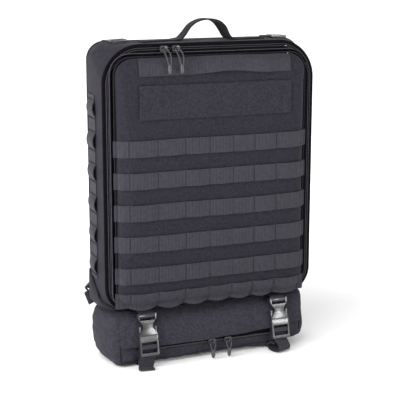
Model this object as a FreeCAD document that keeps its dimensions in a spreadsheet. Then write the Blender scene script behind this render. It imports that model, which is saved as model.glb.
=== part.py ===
import FreeCAD, Part

# Trauma backpack: a slim clamshell pack that stands on a strapped-on lower pouch.
# Frame: +X to the right when the lid is seen from the front, +Y to the wearer's back, +Z up, millimetres.
# The origin is the centre of the pouch's flat base. The clamshell lid faces -Y.
import math
import os
import re

import Sketcher
from FreeCAD import Placement, Rotation, Vector

doc = FreeCAD.newDocument("trauma_backpack")
sheet = doc.addObject("Spreadsheet::Sheet", "sizes")

# driving dimensions
SIZES = [
    ("pouch_width", 338, "lower pouch across"),
    ("pouch_height", 90, "lower pouch, base to top"),
    ("pouch_belly", 12, "how far the pouch front leans out below its flap"),
    ("belly_rise", 38, "height of the belly line above the base"),
    ("pouch_chamfer", 10, "chamfer of the pouch's lower front and rear edges"),
    ("pouch_wall", 4, "pouch fabric and foam"),
    ("pouch_gap", 3, "between the pouch's top and the main body"),
    ("body_width", 354, "main compartment across"),
    ("body_height", 417, "main compartment, without the handle"),
    ("body_depth", 92, "zipper plane to the rear face of the back panel"),
    ("body_wall", 4, "gusset fabric and foam"),
    ("top_radius", 60, "upper corners of the main compartment"),
    ("foot_radius", 40, "lower corners of the main compartment"),
    ("back_thick", 14, "padded back panel"),
    ("back_round", 12, "rear edge of the back panel"),
    ("sheet_thick", 2, "plastic frame sheet"),
    ("sheet_margin", 14, "frame sheet to the gusset"),
    ("liner_thick", 1.5, "loop-faced liner"),
    ("elastic_width", 38, "instrument elastic"),
    ("elastic_pitch", 105, "between the elastic rows"),
    ("elastic_span", 280, "length of an elastic row"),
    ("elastic_thick", 2, "elastic"),
    ("tape_thick", 1.2, "zipper tape"),
    ("tape_width", 6.5, "visible width of a zipper tape"),
    ("coil_width", 2.3, "one side of the zipper coil"),
    ("coil_height", 2, "zipper coil above its tape"),
    ("seam_gap", 0.4, "running gap between the two zipper sides"),
    ("zipper_foot", 24, "body's floor to the lower ends of the zipper"),
    ("lid_inset", 14, "body outline to the lid's outline"),
    ("lid_foot", 7, "lid's lower edge above the body's floor"),
    ("lid_thick", 18, "padded lid"),
    ("lid_round", 8, "front edge of the lid"),
    ("webbing_width", 25, "load webbing"),
    ("webbing_thick", 1.8, "load webbing"),
    ("row_pitch", 50, "between the webbing rows"),
    ("last_pitch", 41, "between the two lowest webbing rows"),
    ("row_drop", 129, "lid's top to the first row's top edge"),
    ("row_margin", 3, "row's end to the lid's edge"),
    ("grab_span", 252, "lid handle, end to end"),
    ("grab_end", 24, "sewn end of the lid handle"),
    ("grab_width", 26, "lid handle webbing"),
    ("grab_drop", 6, "lid's top to the handle's top edge"),
    ("grab_flat", 84, "left part of the lid handle, sewn down beneath the pulls"),
    ("grab_lift", 6, "finger gap behind the lid handle"),
    ("grab_thick", 2, "lid handle webbing"),
    ("patch_width", 254, "identification panel"),
    ("patch_height", 52, "identification panel"),
    ("patch_drop", 46, "lid's top to the panel's top edge"),
    ("patch_thick", 1.6, "identification panel"),
    ("pocket_width", 250, "mesh pocket inside the lid"),
    ("pocket_height", 170, "mesh pocket inside the lid"),
    ("pocket_thick", 3, "mesh pocket inside the lid"),
    ("side_front", 33, "zipper plane to the side webbing"),
    ("side_span", 38, "side webbing, along the depth"),
    ("side_drop", 87, "body's top to the first side row"),
    ("handle_span", 92, "carry handle, across its legs"),
    ("handle_rise", 36, "carry handle above the body"),
    ("handle_bend", 30, "carry handle's upper corners"),
    ("handle_thick", 3, "carry handle webbing"),
    ("handle_set", 38, "zipper plane to the carry handle's middle"),
    ("foot_length", 57, "sewn foot of the carry handle"),
    ("lifter_inset", 39, "load-lifter buckle from the body's side"),
    ("lifter_y", 5, "load-lifter buckle from the mid-depth, rearwards"),
    ("lifter_length", 56, "load-lifter webbing on the top"),
    ("lock_side", 4.5, "ladder lock beside its webbing"),
    ("lock_height", 25, "ladder lock"),
    ("lock_thick", 5, "ladder lock"),
    ("pad_width", 118, "back pad"),
    ("pad_drop", 69, "body's top to the back pads"),
    ("pad_thick", 8, "back pad"),
    ("pad_x", 78, "back pad from the middle"),
    ("pad_low", 78, "body's floor to the back pads"),
    ("lumbar_width", 290, "lumbar pad"),
    ("lumbar_height", 56, "lumbar pad"),
    ("strap_width", 62, "padded shoulder strap"),
    ("strap_drop", 29, "body's top to the shoulder straps"),
    ("strap_thick", 12, "padded shoulder strap"),
    ("strap_x", 84, "shoulder strap from the middle"),
    ("strap_low", 88, "body's floor to the shoulder strap's end"),
    ("tab_width", 30, "lower anchor tab"),
    ("tab_height", 36, "lower anchor tab"),
    ("tab_thick", 6.5, "lower anchor tab"),
    ("tab_out", 10, "anchor tab beyond the body's side"),
    ("front_strap_x", 115, "compression strap from the middle"),
    ("flap_thick", 2, "storm flap of the pouch"),
    ("flap_length", 50, "storm flap, along the leaning front"),
    ("flap_top", 4, "pouch's top edge to the flap, along the front"),
    ("zip_height", 29, "pouch zipper above the base"),
    ("zip_span", 286, "pouch zipper, end to end"),
    ("slit_height", 8, "pouch mouth behind its zipper"),
    ("pouch_tape", 14, "pouch zipper tape"),
    ("buckle_side", 3, "side-release buckle beside its webbing"),
    ("buckle_thick", 9, "side-release buckle"),
    ("waist_inset", 7, "waist of a side-release buckle, each side"),
    ("socket_length", 35, "female half"),
    ("base_length", 10, "solid part of the male half"),
    ("ladder_length", 22, "ladder of the male half"),
    ("prong_length", 15, "release prongs of the male half"),
    ("bar_height", 5, "webbing bars"),
    ("bar_thick", 4.4, "webbing bars"),
    ("fit_gap", 0.4, "clearance of sliding plastic parts"),
    ("buckle_lift", 5.8, "pouch front to the buckle's rear face"),
    ("buckle_drop", 4.2, "pouch's top edge to the buckle's end"),
    ("sternum_scale", 0.72, "sternum buckle against the front ones"),
    ("sternum_height", 285, "body's floor to the sternum strap"),
    ("slider_width", 13, "zipper slider"),
    ("slider_thick", 2.5, "zipper slider's plate"),
    ("eye_radius", 3.2, "eye of a slider"),
    ("eye_hole", 1.9, "hole of the eye"),
    ("cord_size", 2.6, "pull cord"),
    ("cord_fold", 4, "pull cord where it folds through the eye"),
    ("cord_end_size", 7, "moulded cord end"),
    ("cord_end_length", 15, "moulded cord end"),
    ("left_slider_x", -80, "left lid slider from the middle"),
    ("right_slider_x", -60, "right lid slider from the middle"),
    ("left_zip_x", -4, "left pouch slider from the middle"),
    ("right_zip_x", 24, "right pouch slider from the middle"),
]
for row, (alias, value, note) in enumerate(SIZES, start=1):
    sheet.set(f"A{row}", note)
    sheet.set(f"B{row}", str(value))
    sheet.setAlias(f"B{row}", alias)
doc.recompute()

NAMES = re.compile(r"\b(" + "|".join(alias for alias, _, _ in SIZES) + r")\b")
gauge = doc.addObject("Part::Box", "gauge")

# places worked out from the sizes
FRONT = "(-body_depth / 2)"
REAR = "(body_depth / 2)"
FLOOR = "(pouch_height + pouch_gap)"
TOP = f"({FLOOR} + body_height)"
MIDDLE = f"({FLOOR} + body_height / 2)"
LID_FOOT = f"({FLOOR} + lid_foot)"
LID_TOP = f"({TOP} - lid_inset)"
LID_HEIGHT = f"({LID_TOP} - {LID_FOOT})"
LID_MIDDLE = f"({LID_FOOT} + {LID_HEIGHT} / 2)"
LID_WIDTH = "(body_width - 2 * lid_inset)"
LID_BACK = f"({FRONT} - tape_thick)"
LID_FRONT = f"({LID_BACK} - lid_thick)"
LINER = f"({REAR} - back_thick - sheet_thick)"
POUCH_FRONT = f"({FRONT} - pouch_belly)"
LEAN = "atan(pouch_belly / (pouch_height - belly_rise))"
BUCKLE_WIDTH = "(webbing_width + 2 * buckle_side)"
LOCK_WIDTH = "(webbing_width + 2 * lock_side)"


def bound(text):
    """An expression on the spreadsheet, from words that are its aliases."""
    return NAMES.sub(r"sizes.\1", str(text))


def size(text):
    """The value of an expression, as the document works it out."""
    gauge.setExpression("Placement.Base.x", bound(f"({text}) * 1 mm / 1 mm"))
    gauge.recompute()
    return gauge.Placement.Base.x


def place(piece, at, axis=None, angle="0"):
    """Ties a piece's position, and its turn about one axis, to the spreadsheet."""
    if axis:
        piece.Placement = Placement(Vector(0, 0, 0), Rotation(Vector(*axis), size(angle)))
        piece.setExpression("Placement.Rotation.Angle", bound(angle))
    for name, text in zip("xyz", at):
        piece.setExpression(f"Placement.Base.{name}", bound(text))


# sketches and features
def new_body(label):
    body = doc.addObject("PartDesign::Body", label)
    body.Label = label
    return body


def new_sketch(body, plane, offset="0"):
    sketch = body.newObject("Sketcher::SketchObject", body.Name + "_sketch")
    support = [o for o in body.Origin.OriginFeatures if o.Role == plane + "_Plane"][0]
    sketch.AttachmentSupport = (support, [""])
    sketch.MapMode = "FlatFace"
    sketch.setExpression("AttachmentOffset.Base.z", bound(offset))
    return sketch


def tie(sketch, name, text, *constraint):
    """Adds one dimension to a sketch and ties it to the spreadsheet."""
    value = size(text)
    index = sketch.addConstraint(Sketcher.Constraint(*constraint, value))
    sketch.renameConstraint(index, name)
    sketch.setExpression("Constraints." + name, bound(text))


def outline(sketch, points, name="p"):
    """A closed polygon with each corner at (x, y), two expressions."""
    spots = [Vector(size(x), size(y), 0) for x, y in points]
    first = sketch.GeometryCount
    count = len(spots)
    for i in range(count):
        sketch.addGeometry(Part.LineSegment(spots[i], spots[(i + 1) % count]), False)
    for i in range(count):
        after = first + (i + 1) % count
        sketch.addConstraint(Sketcher.Constraint("Coincident", first + i, 2, after, 1))
    for i, (x, y) in enumerate(points):
        tie(sketch, f"{name}x{i}", x, "DistanceX", -1, 1, first + i, 1)
        tie(sketch, f"{name}y{i}", y, "DistanceY", -1, 1, first + i, 1)


def rounded(sketch, width, height, top, foot, name="r", cx="0", cy="0"):
    """A rectangle about (cx, cy) whose upper and lower corners have their own radii."""
    left, right = size(f"{cx} - ({width}) / 2"), size(f"{cx} + ({width}) / 2")
    low, high = size(f"{cy} - ({height}) / 2"), size(f"{cy} + ({height}) / 2")
    upper, lower = size(top), size(foot)
    first = sketch.GeometryCount
    half, quarter = math.pi, math.pi / 2
    centres = [(right - lower, low + lower, lower, -quarter, 0),
               (right - upper, high - upper, upper, 0, quarter),
               (left + upper, high - upper, upper, quarter, half),
               (left + lower, low + lower, lower, half, half + quarter)]
    for i, (x, y, radius, start, end) in enumerate(centres):
        x2, y2, radius2, start2, _ = centres[(i + 1) % 4]
        circle = Part.Circle(Vector(x, y, 0), Vector(0, 0, 1), radius)
        arc = Part.ArcOfCircle(circle, start, end)
        next_circle = Part.Circle(Vector(x2, y2, 0), Vector(0, 0, 1), radius2)
        onward = Part.ArcOfCircle(next_circle, start2, start2 + quarter)
        sketch.addGeometry(arc, False)
        sketch.addGeometry(Part.LineSegment(arc.EndPoint, onward.StartPoint), False)
    for i in range(4):
        arc, line, following = first + 2 * i, first + 2 * i + 1, first + (2 * i + 2) % 8
        sketch.addConstraint(Sketcher.Constraint("Tangent", arc, 2, line, 1))
        sketch.addConstraint(Sketcher.Constraint("Tangent", line, 2, following, 1))
        sketch.addConstraint(Sketcher.Constraint("Horizontal" if i % 2 else "Vertical", line))
    for i, text in enumerate((foot, top, top, foot)):
        tie(sketch, f"{name}radius{i}", text, "Radius", first + 2 * i)
    tie(sketch, name + "right", f"{cx} + ({width}) / 2", "DistanceX", -1, 1, first + 1, 1)
    tie(sketch, name + "top", f"{cy} + ({height}) / 2", "DistanceY", -1, 1, first + 3, 1)
    tie(sketch, name + "left", f"{cx} - ({width}) / 2", "DistanceX", -1, 1, first + 5, 1)
    tie(sketch, name + "foot", f"{cy} - ({height}) / 2", "DistanceY", -1, 1, first + 7, 1)


def rectangle(sketch, left, low, right, high, name="q"):
    outline(sketch, [(left, low), (right, low), (right, high), (left, high)], name)


def pad(body, sketch, length, against=False):
    feature = body.newObject("PartDesign::Pad", body.Name + "_pad")
    feature.Profile = sketch
    feature.Reversed = against
    feature.setExpression("Length", bound(length))
    body.Tip = feature
    doc.recompute()
    return feature


def pocket(body, sketch, length, against=False):
    """Cuts along the sketch's back side, or its front side when against is set, and proves that it cut."""
    before = body.Shape.Volume
    feature = body.newObject("PartDesign::Pocket", body.Name + "_pocket")
    feature.Profile = sketch
    feature.Reversed = against
    feature.setExpression("Length", bound(length))
    body.Tip = feature
    doc.recompute()
    if feature.Shape.Volume > before - 0.1:
        raise RuntimeError(f"{body.Label}: the pocket cuts nothing")
    return feature


def soften(body, radius, wanted):
    """Rounds the edges of the tip for which wanted(edge) holds."""
    tip = body.Tip
    names = [f"Edge{i}" for i, edge in enumerate(tip.Shape.Edges, 1) if wanted(edge)]
    if not names:
        raise RuntimeError(f"{body.Label}: no edge to round")
    feature = body.newObject("PartDesign::Fillet", body.Name + "_round")
    feature.Base = (tip, names)
    feature.setExpression("Radius", bound(radius))
    body.Tip = feature
    doc.recompute()


def plate(label, width, height, thick, at, top="2", foot=None, round_front=None, round_rear=None):
    """An upright rounded plate: at is the middle of its rear face, and it grows towards -Y."""
    body = new_body(label)
    sketch = new_sketch(body, "XZ")
    rounded(sketch, width, height, top, foot or top)
    pad(body, sketch, thick)
    if round_front:
        front = -size(thick)
        soften(body, round_front,
               lambda e: abs(e.BoundBox.YMin - front) + abs(e.BoundBox.YMax - front) < 0.01)
    if round_rear:
        soften(body, round_rear, lambda e: abs(e.BoundBox.YMin) + abs(e.BoundBox.YMax) < 0.01)
    place(body, at)
    return body


def block(label, length, depth, height, at, axis=None, angle="0"):
    """A plain strip or block with its low corner at its own origin."""
    box = doc.addObject("Part::Box", label)
    box.Label = label
    for name, text in (("Length", length), ("Width", depth), ("Height", height)):
        box.setExpression(name, bound(text))
    place(box, at, axis, angle)
    return box


def group(label, pieces):
    """Separate solids that share one node."""
    compound = doc.addObject("Part::Compound", label)
    compound.Label = label
    compound.Links = pieces
    return compound


NODES = []


def keep(*pieces):
    """Marks pieces as nodes of the finished object."""
    NODES.extend(pieces)
    return pieces[0]


SIDES = (("left", -1), ("right", 1))


# main compartment
def frame_ring(label, outer, inner, thick, y, foot=None):
    """A ring that follows the body's outline between two insets. With foot, it is open below that height."""
    body = new_body(label)
    sketch = new_sketch(body, "XZ")
    for name, inset in (("o", outer), ("i", inner)):
        rounded(sketch, f"body_width - 2 * ({inset})", f"body_height - 2 * ({inset})",
                f"top_radius - ({inset})", f"foot_radius - ({inset})", name)
    pad(body, sketch, thick)
    if foot:
        cut = new_sketch(body, "XZ")
        rectangle(cut, "-body_width", "-body_height", "body_width", f"{foot} - {MIDDLE}")
        pocket(body, cut, f"{thick} + 1", against=True)
    place(body, ("0", y, MIDDLE))
    return body


def main_compartment():
    keep(frame_ring("side_gusset", "0", "body_wall", "body_depth - back_thick", f"{REAR} - back_thick"))
    keep(plate("back_panel", "body_width", "body_height", "back_thick", ("0", REAR, MIDDLE),
               "top_radius", "foot_radius", round_rear="back_round"))
    margin = "(body_wall + sheet_margin)"
    keep(plate("frame_sheet", f"body_width - 2 * {margin}", f"body_height - 2 * {margin}", "sheet_thick",
               ("0", f"{REAR} - back_thick", MIDDLE), f"top_radius - {margin}", f"foot_radius - {margin}"))
    inner = "(body_wall + 1)"
    keep(plate("rear_liner", f"body_width - 2 * {inner}", f"body_height - 2 * {inner}", "liner_thick",
               ("0", LINER, MIDDLE), f"top_radius - {inner}", f"foot_radius - {inner}"))
    bands = [block(f"elastic_{i}", "elastic_span", "elastic_thick", "elastic_width",
                   ("-elastic_span / 2", f"{LINER} - liner_thick - elastic_thick",
                    f"{MIDDLE} + {i} * elastic_pitch - elastic_width / 2"))
             for i in (-1, 0, 1)]
    keep(group("instrument_elastics", bands))
    hinge = block("lid_hinge_strip", f"{LID_WIDTH} - 2 * foot_radius", "4 * tape_thick",
                  "lid_foot - seam_gap",
                  (f"foot_radius - {LID_WIDTH} / 2", f"{FRONT} - 4 * tape_thick", FLOOR))
    keep(hinge)


def zippers():
    lid_side = "(tape_width + seam_gap)"
    foot = f"({FLOOR} + zipper_foot)"
    coil_y = f"{FRONT} - tape_thick"
    keep(group("body_zipper", [
        frame_ring("body_tape", "0", "tape_width", "tape_thick", FRONT, foot),
        frame_ring("body_coil", "tape_width - coil_width", "tape_width", "coil_height", coil_y, foot)]))
    keep(group("lid_zipper", [
        frame_ring("lid_tape", lid_side, "lid_inset + tape_width", "tape_thick", FRONT, foot),
        frame_ring("lid_coil", lid_side, f"{lid_side} + coil_width", "coil_height", coil_y, foot)]))


def side_webbing():
    for side, sign in SIDES:
        x = "-body_width / 2 - webbing_thick" if sign < 0 else "body_width / 2"
        rows = [block(f"side_row_{side}_{i}", "webbing_thick", "side_span", "webbing_width",
                      (x, f"{FRONT} + side_front", f"{TOP} - side_drop - webbing_width - {i} * row_pitch"))
                for i in range(6)]
        keep(group(f"side_webbing_{side}", rows))


# lid
def lid():
    panel = plate("lid_panel", LID_WIDTH, LID_HEIGHT, "lid_thick", ("0", LID_BACK, LID_MIDDLE),
                  "top_radius - lid_inset", "foot_radius - lid_inset / 2", round_front="lid_round")
    keep(panel)
    drops = [f"{i} * row_pitch" for i in range(5)] + ["4 * row_pitch + last_pitch"]
    rows = [block(f"lid_row_{i}", f"{LID_WIDTH} - 2 * row_margin", "webbing_thick", "webbing_width",
                  (f"row_margin - {LID_WIDTH} / 2", f"{LID_FRONT} - webbing_thick",
                   f"{LID_TOP} - row_drop - webbing_width - {drop}"))
            for i, drop in enumerate(drops)]
    keep(group("lid_webbing_rows", rows))
    keep(plate("identification_panel", "patch_width", "patch_height", "patch_thick",
               ("0", LID_FRONT, f"{LID_TOP} - patch_drop - patch_height / 2"), "3"))
    keep(lid_handle())
    keep(plate("lid_mesh_pocket", "pocket_width", "pocket_height", "pocket_thick",
               ("0", f"{LID_BACK} + pocket_thick", LID_MIDDLE), "12"))


def lid_handle():
    """A strip sewn down at both ends, with its middle lifted off the lid."""
    body = new_body("lid_handle")
    sketch = new_sketch(body, "XY")
    half, ramp = "(grab_span / 2)", "2 * grab_lift"
    stations = [(f"-{half}", "0"), (f"grab_flat - {half}", "0"),
                (f"grab_flat + {ramp} - {half}", "-grab_lift"),
                (f"{half} - grab_end - {ramp}", "-grab_lift"), (f"{half} - grab_end", "0"), (half, "0")]
    outline(sketch, stations + [(x, f"{y} - grab_thick") for x, y in reversed(stations)])
    pad(body, sketch, "grab_width")
    place(body, ("0", LID_FRONT, f"{LID_TOP} - grab_drop - grab_width"))
    return body


# top
def carry_handle():
    y = f"({FRONT} + handle_set)"
    feet = [block(f"handle_foot_{side}", "foot_length", "webbing_width", "webbing_thick",
                  ("handle_span / 2" if sign > 0 else "-handle_span / 2 - foot_length",
                   f"{y} - webbing_width / 2", TOP)) for side, sign in SIDES]
    keep(group("carry_handle_feet", feet))
    body = new_body("carry_handle")
    sketch = new_sketch(body, "XZ")
    deep = "2 * handle_rise"
    rounded(sketch, "handle_span", deep, "handle_bend", "handle_bend", "o")
    rounded(sketch, "handle_span - 2 * handle_thick", f"{deep} - 2 * handle_thick",
            "handle_bend - handle_thick", "handle_bend - handle_thick", "i")
    pad(body, sketch, "webbing_width")
    cut = new_sketch(body, "XZ")
    rectangle(cut, "-handle_span", "-2 * handle_rise", "handle_span", "webbing_thick + seam_gap")
    pocket(body, cut, "webbing_width + 1", against=True)
    low = size("webbing_thick + seam_gap")
    soften(body, "webbing_width / 2 - 0.1",
           lambda e: max(abs(e.BoundBox.ZMin - low), abs(e.BoundBox.ZMax - low)) < 0.01
           and e.BoundBox.XLength > 1)
    place(body, ("0", f"{y} + webbing_width / 2", TOP))
    keep(body)


def load_lifters():
    """A ladder lock on a webbing strip, on each upper corner of the body."""
    tilt = "asin((top_radius - lifter_inset) / top_radius)"
    reach = "(top_radius + {})"
    webs = []
    for side, sign in SIDES:
        centre = f"{sign} * (body_width / 2 - top_radius)"
        angle = f"{sign} * {tilt}"
        for name, lift, width, length, thick in (
                ("load_lifter_webbing_", "0.3", "webbing_width", "lifter_length", "webbing_thick"),
                ("load_lifter_lock_", "webbing_thick + 0.5", LOCK_WIDTH, "lock_height", "lock_thick")):
            body = new_body(name + side)
            sketch = new_sketch(body, "XY", reach.format(lift))
            rounded(sketch, width, length, "1.5", "1.5", "o",
                    cy="(lifter_length - lock_height) / 2" if "webbing" in name else "0")
            if "lock" in name:
                for i, low in enumerate(("-lock_height / 2 + 3", "bar_height / 2")):
                    rectangle(sketch, "-webbing_width / 2 - 0.5", low, "webbing_width / 2 + 0.5",
                              f"{low} + lock_height / 2 - 3 - bar_height / 2", f"s{i}")
            pad(body, sketch, thick)
            place(body, (centre, "lifter_y", f"{TOP} - top_radius"), (0, 1, 0), angle)
            (webs if "webbing" in name else NODES).append(body)
    keep(group("load_lifter_webbing", webs))


# back
def back_pads():
    height = "(body_height - pad_low - pad_drop)"
    for side, sign in SIDES:
        keep(plate(f"back_pad_{side}", "pad_width", height, "pad_thick",
                   (f"{sign} * pad_x", f"{REAR} + pad_thick", f"{FLOOR} + pad_low + {height} / 2"),
                   "22", round_rear="6"))
    keep(plate("lumbar_pad", "lumbar_width", "lumbar_height", "pad_thick",
               ("0", f"{REAR} + pad_thick", f"{FLOOR} + pad_low - 8 - lumbar_height / 2"),
               "20", round_rear="6"))


def shoulder_straps():
    pads_rear = f"({REAR} + pad_thick)"
    low = f"({FLOOR} + strap_low)"
    strap_length = "(body_height - strap_low - strap_drop)"
    tabs = []
    for side, sign in SIDES:
        pad_strip = plate(f"strap_pad_{side}", "strap_width", strap_length, "strap_thick",
                          (f"{sign} * strap_x", f"{pads_rear} + 1 + strap_thick",
                           f"{low} + {strap_length} / 2"),
                          "14", round_rear="4", round_front="3")
        yoke = block(f"strap_yoke_{side}", "strap_width - 20", "pad_thick + 1", "24",
                     (f"{sign} * strap_x - strap_width / 2 + 10", REAR, f"{low} + {strap_length} - 34"))
        keep(group(f"shoulder_strap_{side}", [pad_strip, yoke]))
        # lower webbing: from the padded strap's end down to the anchor on the body's lower corner
        start = f"(strap_x + 4)"
        end = f"(body_width / 2 - 4)"
        drop = f"({low} - {FLOOR} - 2)"
        length = f"sqrt(({end} - {start}) * ({end} - {start}) + {drop} * {drop})"
        angle = f"{-sign} * atan(({end} - {start}) / {drop})"
        web = new_body(f"shoulder_webbing_{side}")
        sketch = new_sketch(web, "XZ")
        rectangle(sketch, "-webbing_width / 2", f"-{length}", "webbing_width / 2", "0")
        pad(web, sketch, "webbing_thick")
        place(web, (f"{sign} * {start}", f"{pads_rear} + 3 + webbing_thick + 0.6", f"{low} + 6"),
              (0, 1, 0), angle)
        keep(web)
        tab = new_body(f"anchor_tab_{side}")
        sketch = new_sketch(tab, "XZ")
        outer = f"{sign} * (body_width / 2 + tab_out)"
        inner = f"{sign} * (body_width / 2 + tab_out - tab_width)"
        upper = f"{sign} * (body_width / 2 - 2)"
        outline(sketch, [(inner, "-tab_height / 2"), (outer, "-tab_height / 2"), (upper, "tab_height / 2"),
                         (inner, "tab_height / 2")])
        pad(tab, sketch, "tab_thick")
        place(tab, ("0", f"{REAR} + tab_thick", FLOOR + " + 8"))
        tabs.append(tab)
        lock = ladder_lock(f"strap_lock_{side}")
        place(lock, (f"{sign} * ({end} - 2)", f"{REAR} + tab_thick + lock_thick", f"{FLOOR} + 2"),
              (0, 1, 0), angle)
        keep(lock)
    keep(group("anchor_tabs", tabs))


def ladder_lock(label):
    """A two-slot webbing lock, upright, its lower edge at its own origin."""
    body = new_body(label)
    sketch = new_sketch(body, "XZ")
    rounded(sketch, LOCK_WIDTH, "lock_height", "3", "3", "o", cy="lock_height / 2")
    for i, low in enumerate(("3", "lock_height / 2 + bar_height / 2")):
        rectangle(sketch, "-webbing_width / 2 - 0.5", low, "webbing_width / 2 + 0.5",
                  f"{low} + lock_height / 2 - 3 - bar_height / 2", f"s{i}")
    pad(body, sketch, "lock_thick")
    return body


# lower pouch
def pouch_section(sketch, inset):
    """The pouch cut across its length: y and z, moved in by inset."""
    slope = "(pouch_belly / (pouch_height - belly_rise))"
    front, rear = f"({FRONT} + {inset})", f"({REAR} - {inset})"
    top, belly = f"(pouch_height - {inset})", f"({POUCH_FRONT} + {inset})"
    cut = "pouch_chamfer"
    outline(sketch, [(f"{belly} + {cut}", inset), (f"{rear} - {cut}", inset), (rear, f"{cut} + {inset}"),
                     (rear, top), (f"{front} - {slope} * {inset}", top), (belly, "belly_rise"),
                     (belly, f"{cut} + {inset}")])


def pouch():
    shell = new_body("pouch_outside")
    sketch = new_sketch(shell, "YZ")
    pouch_section(sketch, "0")
    pad(shell, sketch, "pouch_width")
    soften(shell, "pouch_chamfer", lambda e: e.BoundBox.XLength < 0.01 and e.BoundBox.ZLength > 5)
    for side, sign in SIDES:
        groove = new_sketch(shell, "YZ", f"{sign} * front_strap_x + pouch_width / 2 + webbing_width / 2 + 1")
        rectangle(groove, "-body_depth", "-1", "body_depth", "webbing_thick + 0.6")
        pocket(shell, groove, "webbing_width + 2")
    place(shell, ("-pouch_width / 2", "0", "0"))
    hollow = new_body("pouch_inside")
    sketch = new_sketch(hollow, "YZ")
    pouch_section(sketch, "pouch_wall")
    pad(hollow, sketch, "pouch_width - 2 * pouch_wall")
    place(hollow, ("pouch_wall - pouch_width / 2", "0", "0"))
    slit = block("pouch_mouth", "zip_span - 12", "3 * pouch_wall", "slit_height",
                 ("6 - zip_span / 2", f"{POUCH_FRONT} - pouch_wall", "zip_height - slit_height / 2"))
    empty = doc.addObject("Part::MultiFuse", "pouch_space")
    empty.Shapes = [hollow, slit]
    cut = doc.addObject("Part::Cut", "pouch_shell")
    cut.Label = "pouch_shell"
    cut.Base = shell
    cut.Tool = empty
    keep(cut)
    keep(group("pouch_zipper", [
        plate("pouch_tape_strip", "zip_span", "pouch_tape", "tape_thick",
              ("0", POUCH_FRONT, "zip_height"), "2"),
        plate("pouch_coil", "zip_span - 8", "2 * coil_width", "coil_height",
              ("0", f"{POUCH_FRONT} - tape_thick", "zip_height"), "1")]))
    flap = plate("pouch_flap", "pouch_width - 2 * pouch_chamfer", "flap_length", "flap_thick",
                 ("0", "0", "0"), "2")
    lean_on_pouch(flap, "0", "flap_top + flap_length / 2", "0")
    keep(flap)


def lean_on_pouch(piece, x, down, out):
    """Puts a piece on the pouch's leaning front: down along it from its top edge, and out from its face."""
    place(piece, (x, f"{FRONT} - ({down}) * sin({LEAN}) - ({out}) * cos({LEAN})",
                  f"pouch_height - ({down}) * cos({LEAN}) + ({out}) * sin({LEAN})"), (1, 0, 0), f"-{LEAN}")


# side-release buckles
def socket_half(label, k="1"):
    """Female half, hanging from its own origin: two plates, open at the sides, under a webbing bar."""
    body = new_body(label)
    wide, tall = f"({BUCKLE_WIDTH} * {k} / 2)", f"(socket_length * {k})"
    waist = f"({wide} - waist_inset * {k})"
    stations = [(wide, "0.2"), (waist, "0.5"), (waist, "0.66"), (wide, "0.95")]
    right = [(wide, "0")] + [(x, f"-{share} * {tall}") for x, share in stations] + [(wide, f"-{tall}")]
    left = [("-" + x, y) for x, y in reversed(right)]
    sketch = new_sketch(body, "XZ")
    outline(sketch, right + left)
    pad(body, sketch, f"buckle_thick * {k}")
    end = 1 - size(tall)
    soften(body, f"3 * {k}",
           lambda e: e.BoundBox.YLength > 1 and e.BoundBox.ZMax < -1 and e.BoundBox.ZMin > end)
    slot = new_sketch(body, "XZ")
    span = f"(webbing_width * {k} / 2 + fit_gap)"
    rectangle(slot, "-" + span, f"-(bar_height * 2.1 * {k})", span, f"-bar_height * {k}")
    pocket(body, slot, f"buckle_thick * {k} + 1", against=True)
    thin_bar(body, span, "1", f"-bar_height * {k}", k)
    throat = new_sketch(body, "YZ", f"-{BUCKLE_WIDTH} * {k}")
    half = f"(bar_thick * {k} / 2 + fit_gap)"
    rectangle(throat, f"-buckle_thick * {k} / 2 - {half}", f"-{tall} - 1",
              f"-buckle_thick * {k} / 2 + {half}", f"-{tall} + (prong_length + 2) * {k}")
    pocket(body, throat, f"2 * {BUCKLE_WIDTH} * {k}", against=True)
    return body


def thin_bar(body, span, high, low, k):
    """Thins the webbing bar between two heights from both faces, to leave room for the webbing."""
    step = f"((buckle_thick - bar_thick) * {k} / 2)"
    for offset in ("0", f"buckle_thick * {k} - {step}"):
        cut = new_sketch(body, "XZ", offset)
        rectangle(cut, "-" + span, low, span, high)
        pocket(body, cut, step, against=True)


def plug_half(label, k="1"):
    """Male half below the socket: a base with two prongs upwards, and a ladder for the webbing."""
    body = new_body(label)
    wide = f"({BUCKLE_WIDTH} * {k} / 2)"
    start = f"(socket_length * {k} + fit_gap)"
    end = f"((socket_length + base_length + ladder_length) * {k})"
    sketch = new_sketch(body, "XZ")
    rectangle(sketch, "-" + wide, f"-{end}", wide, f"-{start}")
    pad(body, sketch, f"buckle_thick * {k}")
    soften(body, f"2 * {k}", lambda e: e.BoundBox.YLength > 1 and e.BoundBox.ZLength < 0.01)
    span = f"(webbing_width * {k} / 2 + fit_gap)"
    ladder = f"((socket_length + base_length) * {k})"
    slots = new_sketch(body, "XZ")
    rectangle(slots, "-" + span, f"-{ladder} - 5.5 * {k}", span, f"-{ladder}", "a")
    rectangle(slots, "-" + span, f"-{end} + 4.5 * {k}", span, f"-{ladder} - (5.5 + bar_height) * {k}", "b")
    pocket(body, slots, f"buckle_thick * {k} + 1", against=True)
    thin_bar(body, span, f"-{ladder} - 5.4 * {k}", f"-{ladder} - (5.6 + bar_height) * {k}", k)
    prongs = new_sketch(body, "XZ", f"(buckle_thick - bar_thick) * {k} / 2")
    for i, sign in enumerate((-1, 1)):
        inner = f"{sign} * ({BUCKLE_WIDTH} / 2 - 4.5) * {k}"
        outer = f"{sign} * ({BUCKLE_WIDTH} / 2 - 0.6) * {k}"
        left, right = (outer, inner) if sign < 0 else (inner, outer)
        rectangle(prongs, left, f"-{start} - 1", right, f"-{start} + prong_length * {k}", f"g{i}")
    guide = f"(2 * {k})"
    rectangle(prongs, "-" + guide, f"-{start} - 1", guide, f"-{start} + 0.7 * prong_length * {k}", "h")
    pad(body, prongs, f"bar_thick * {k}")
    return body


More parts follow.
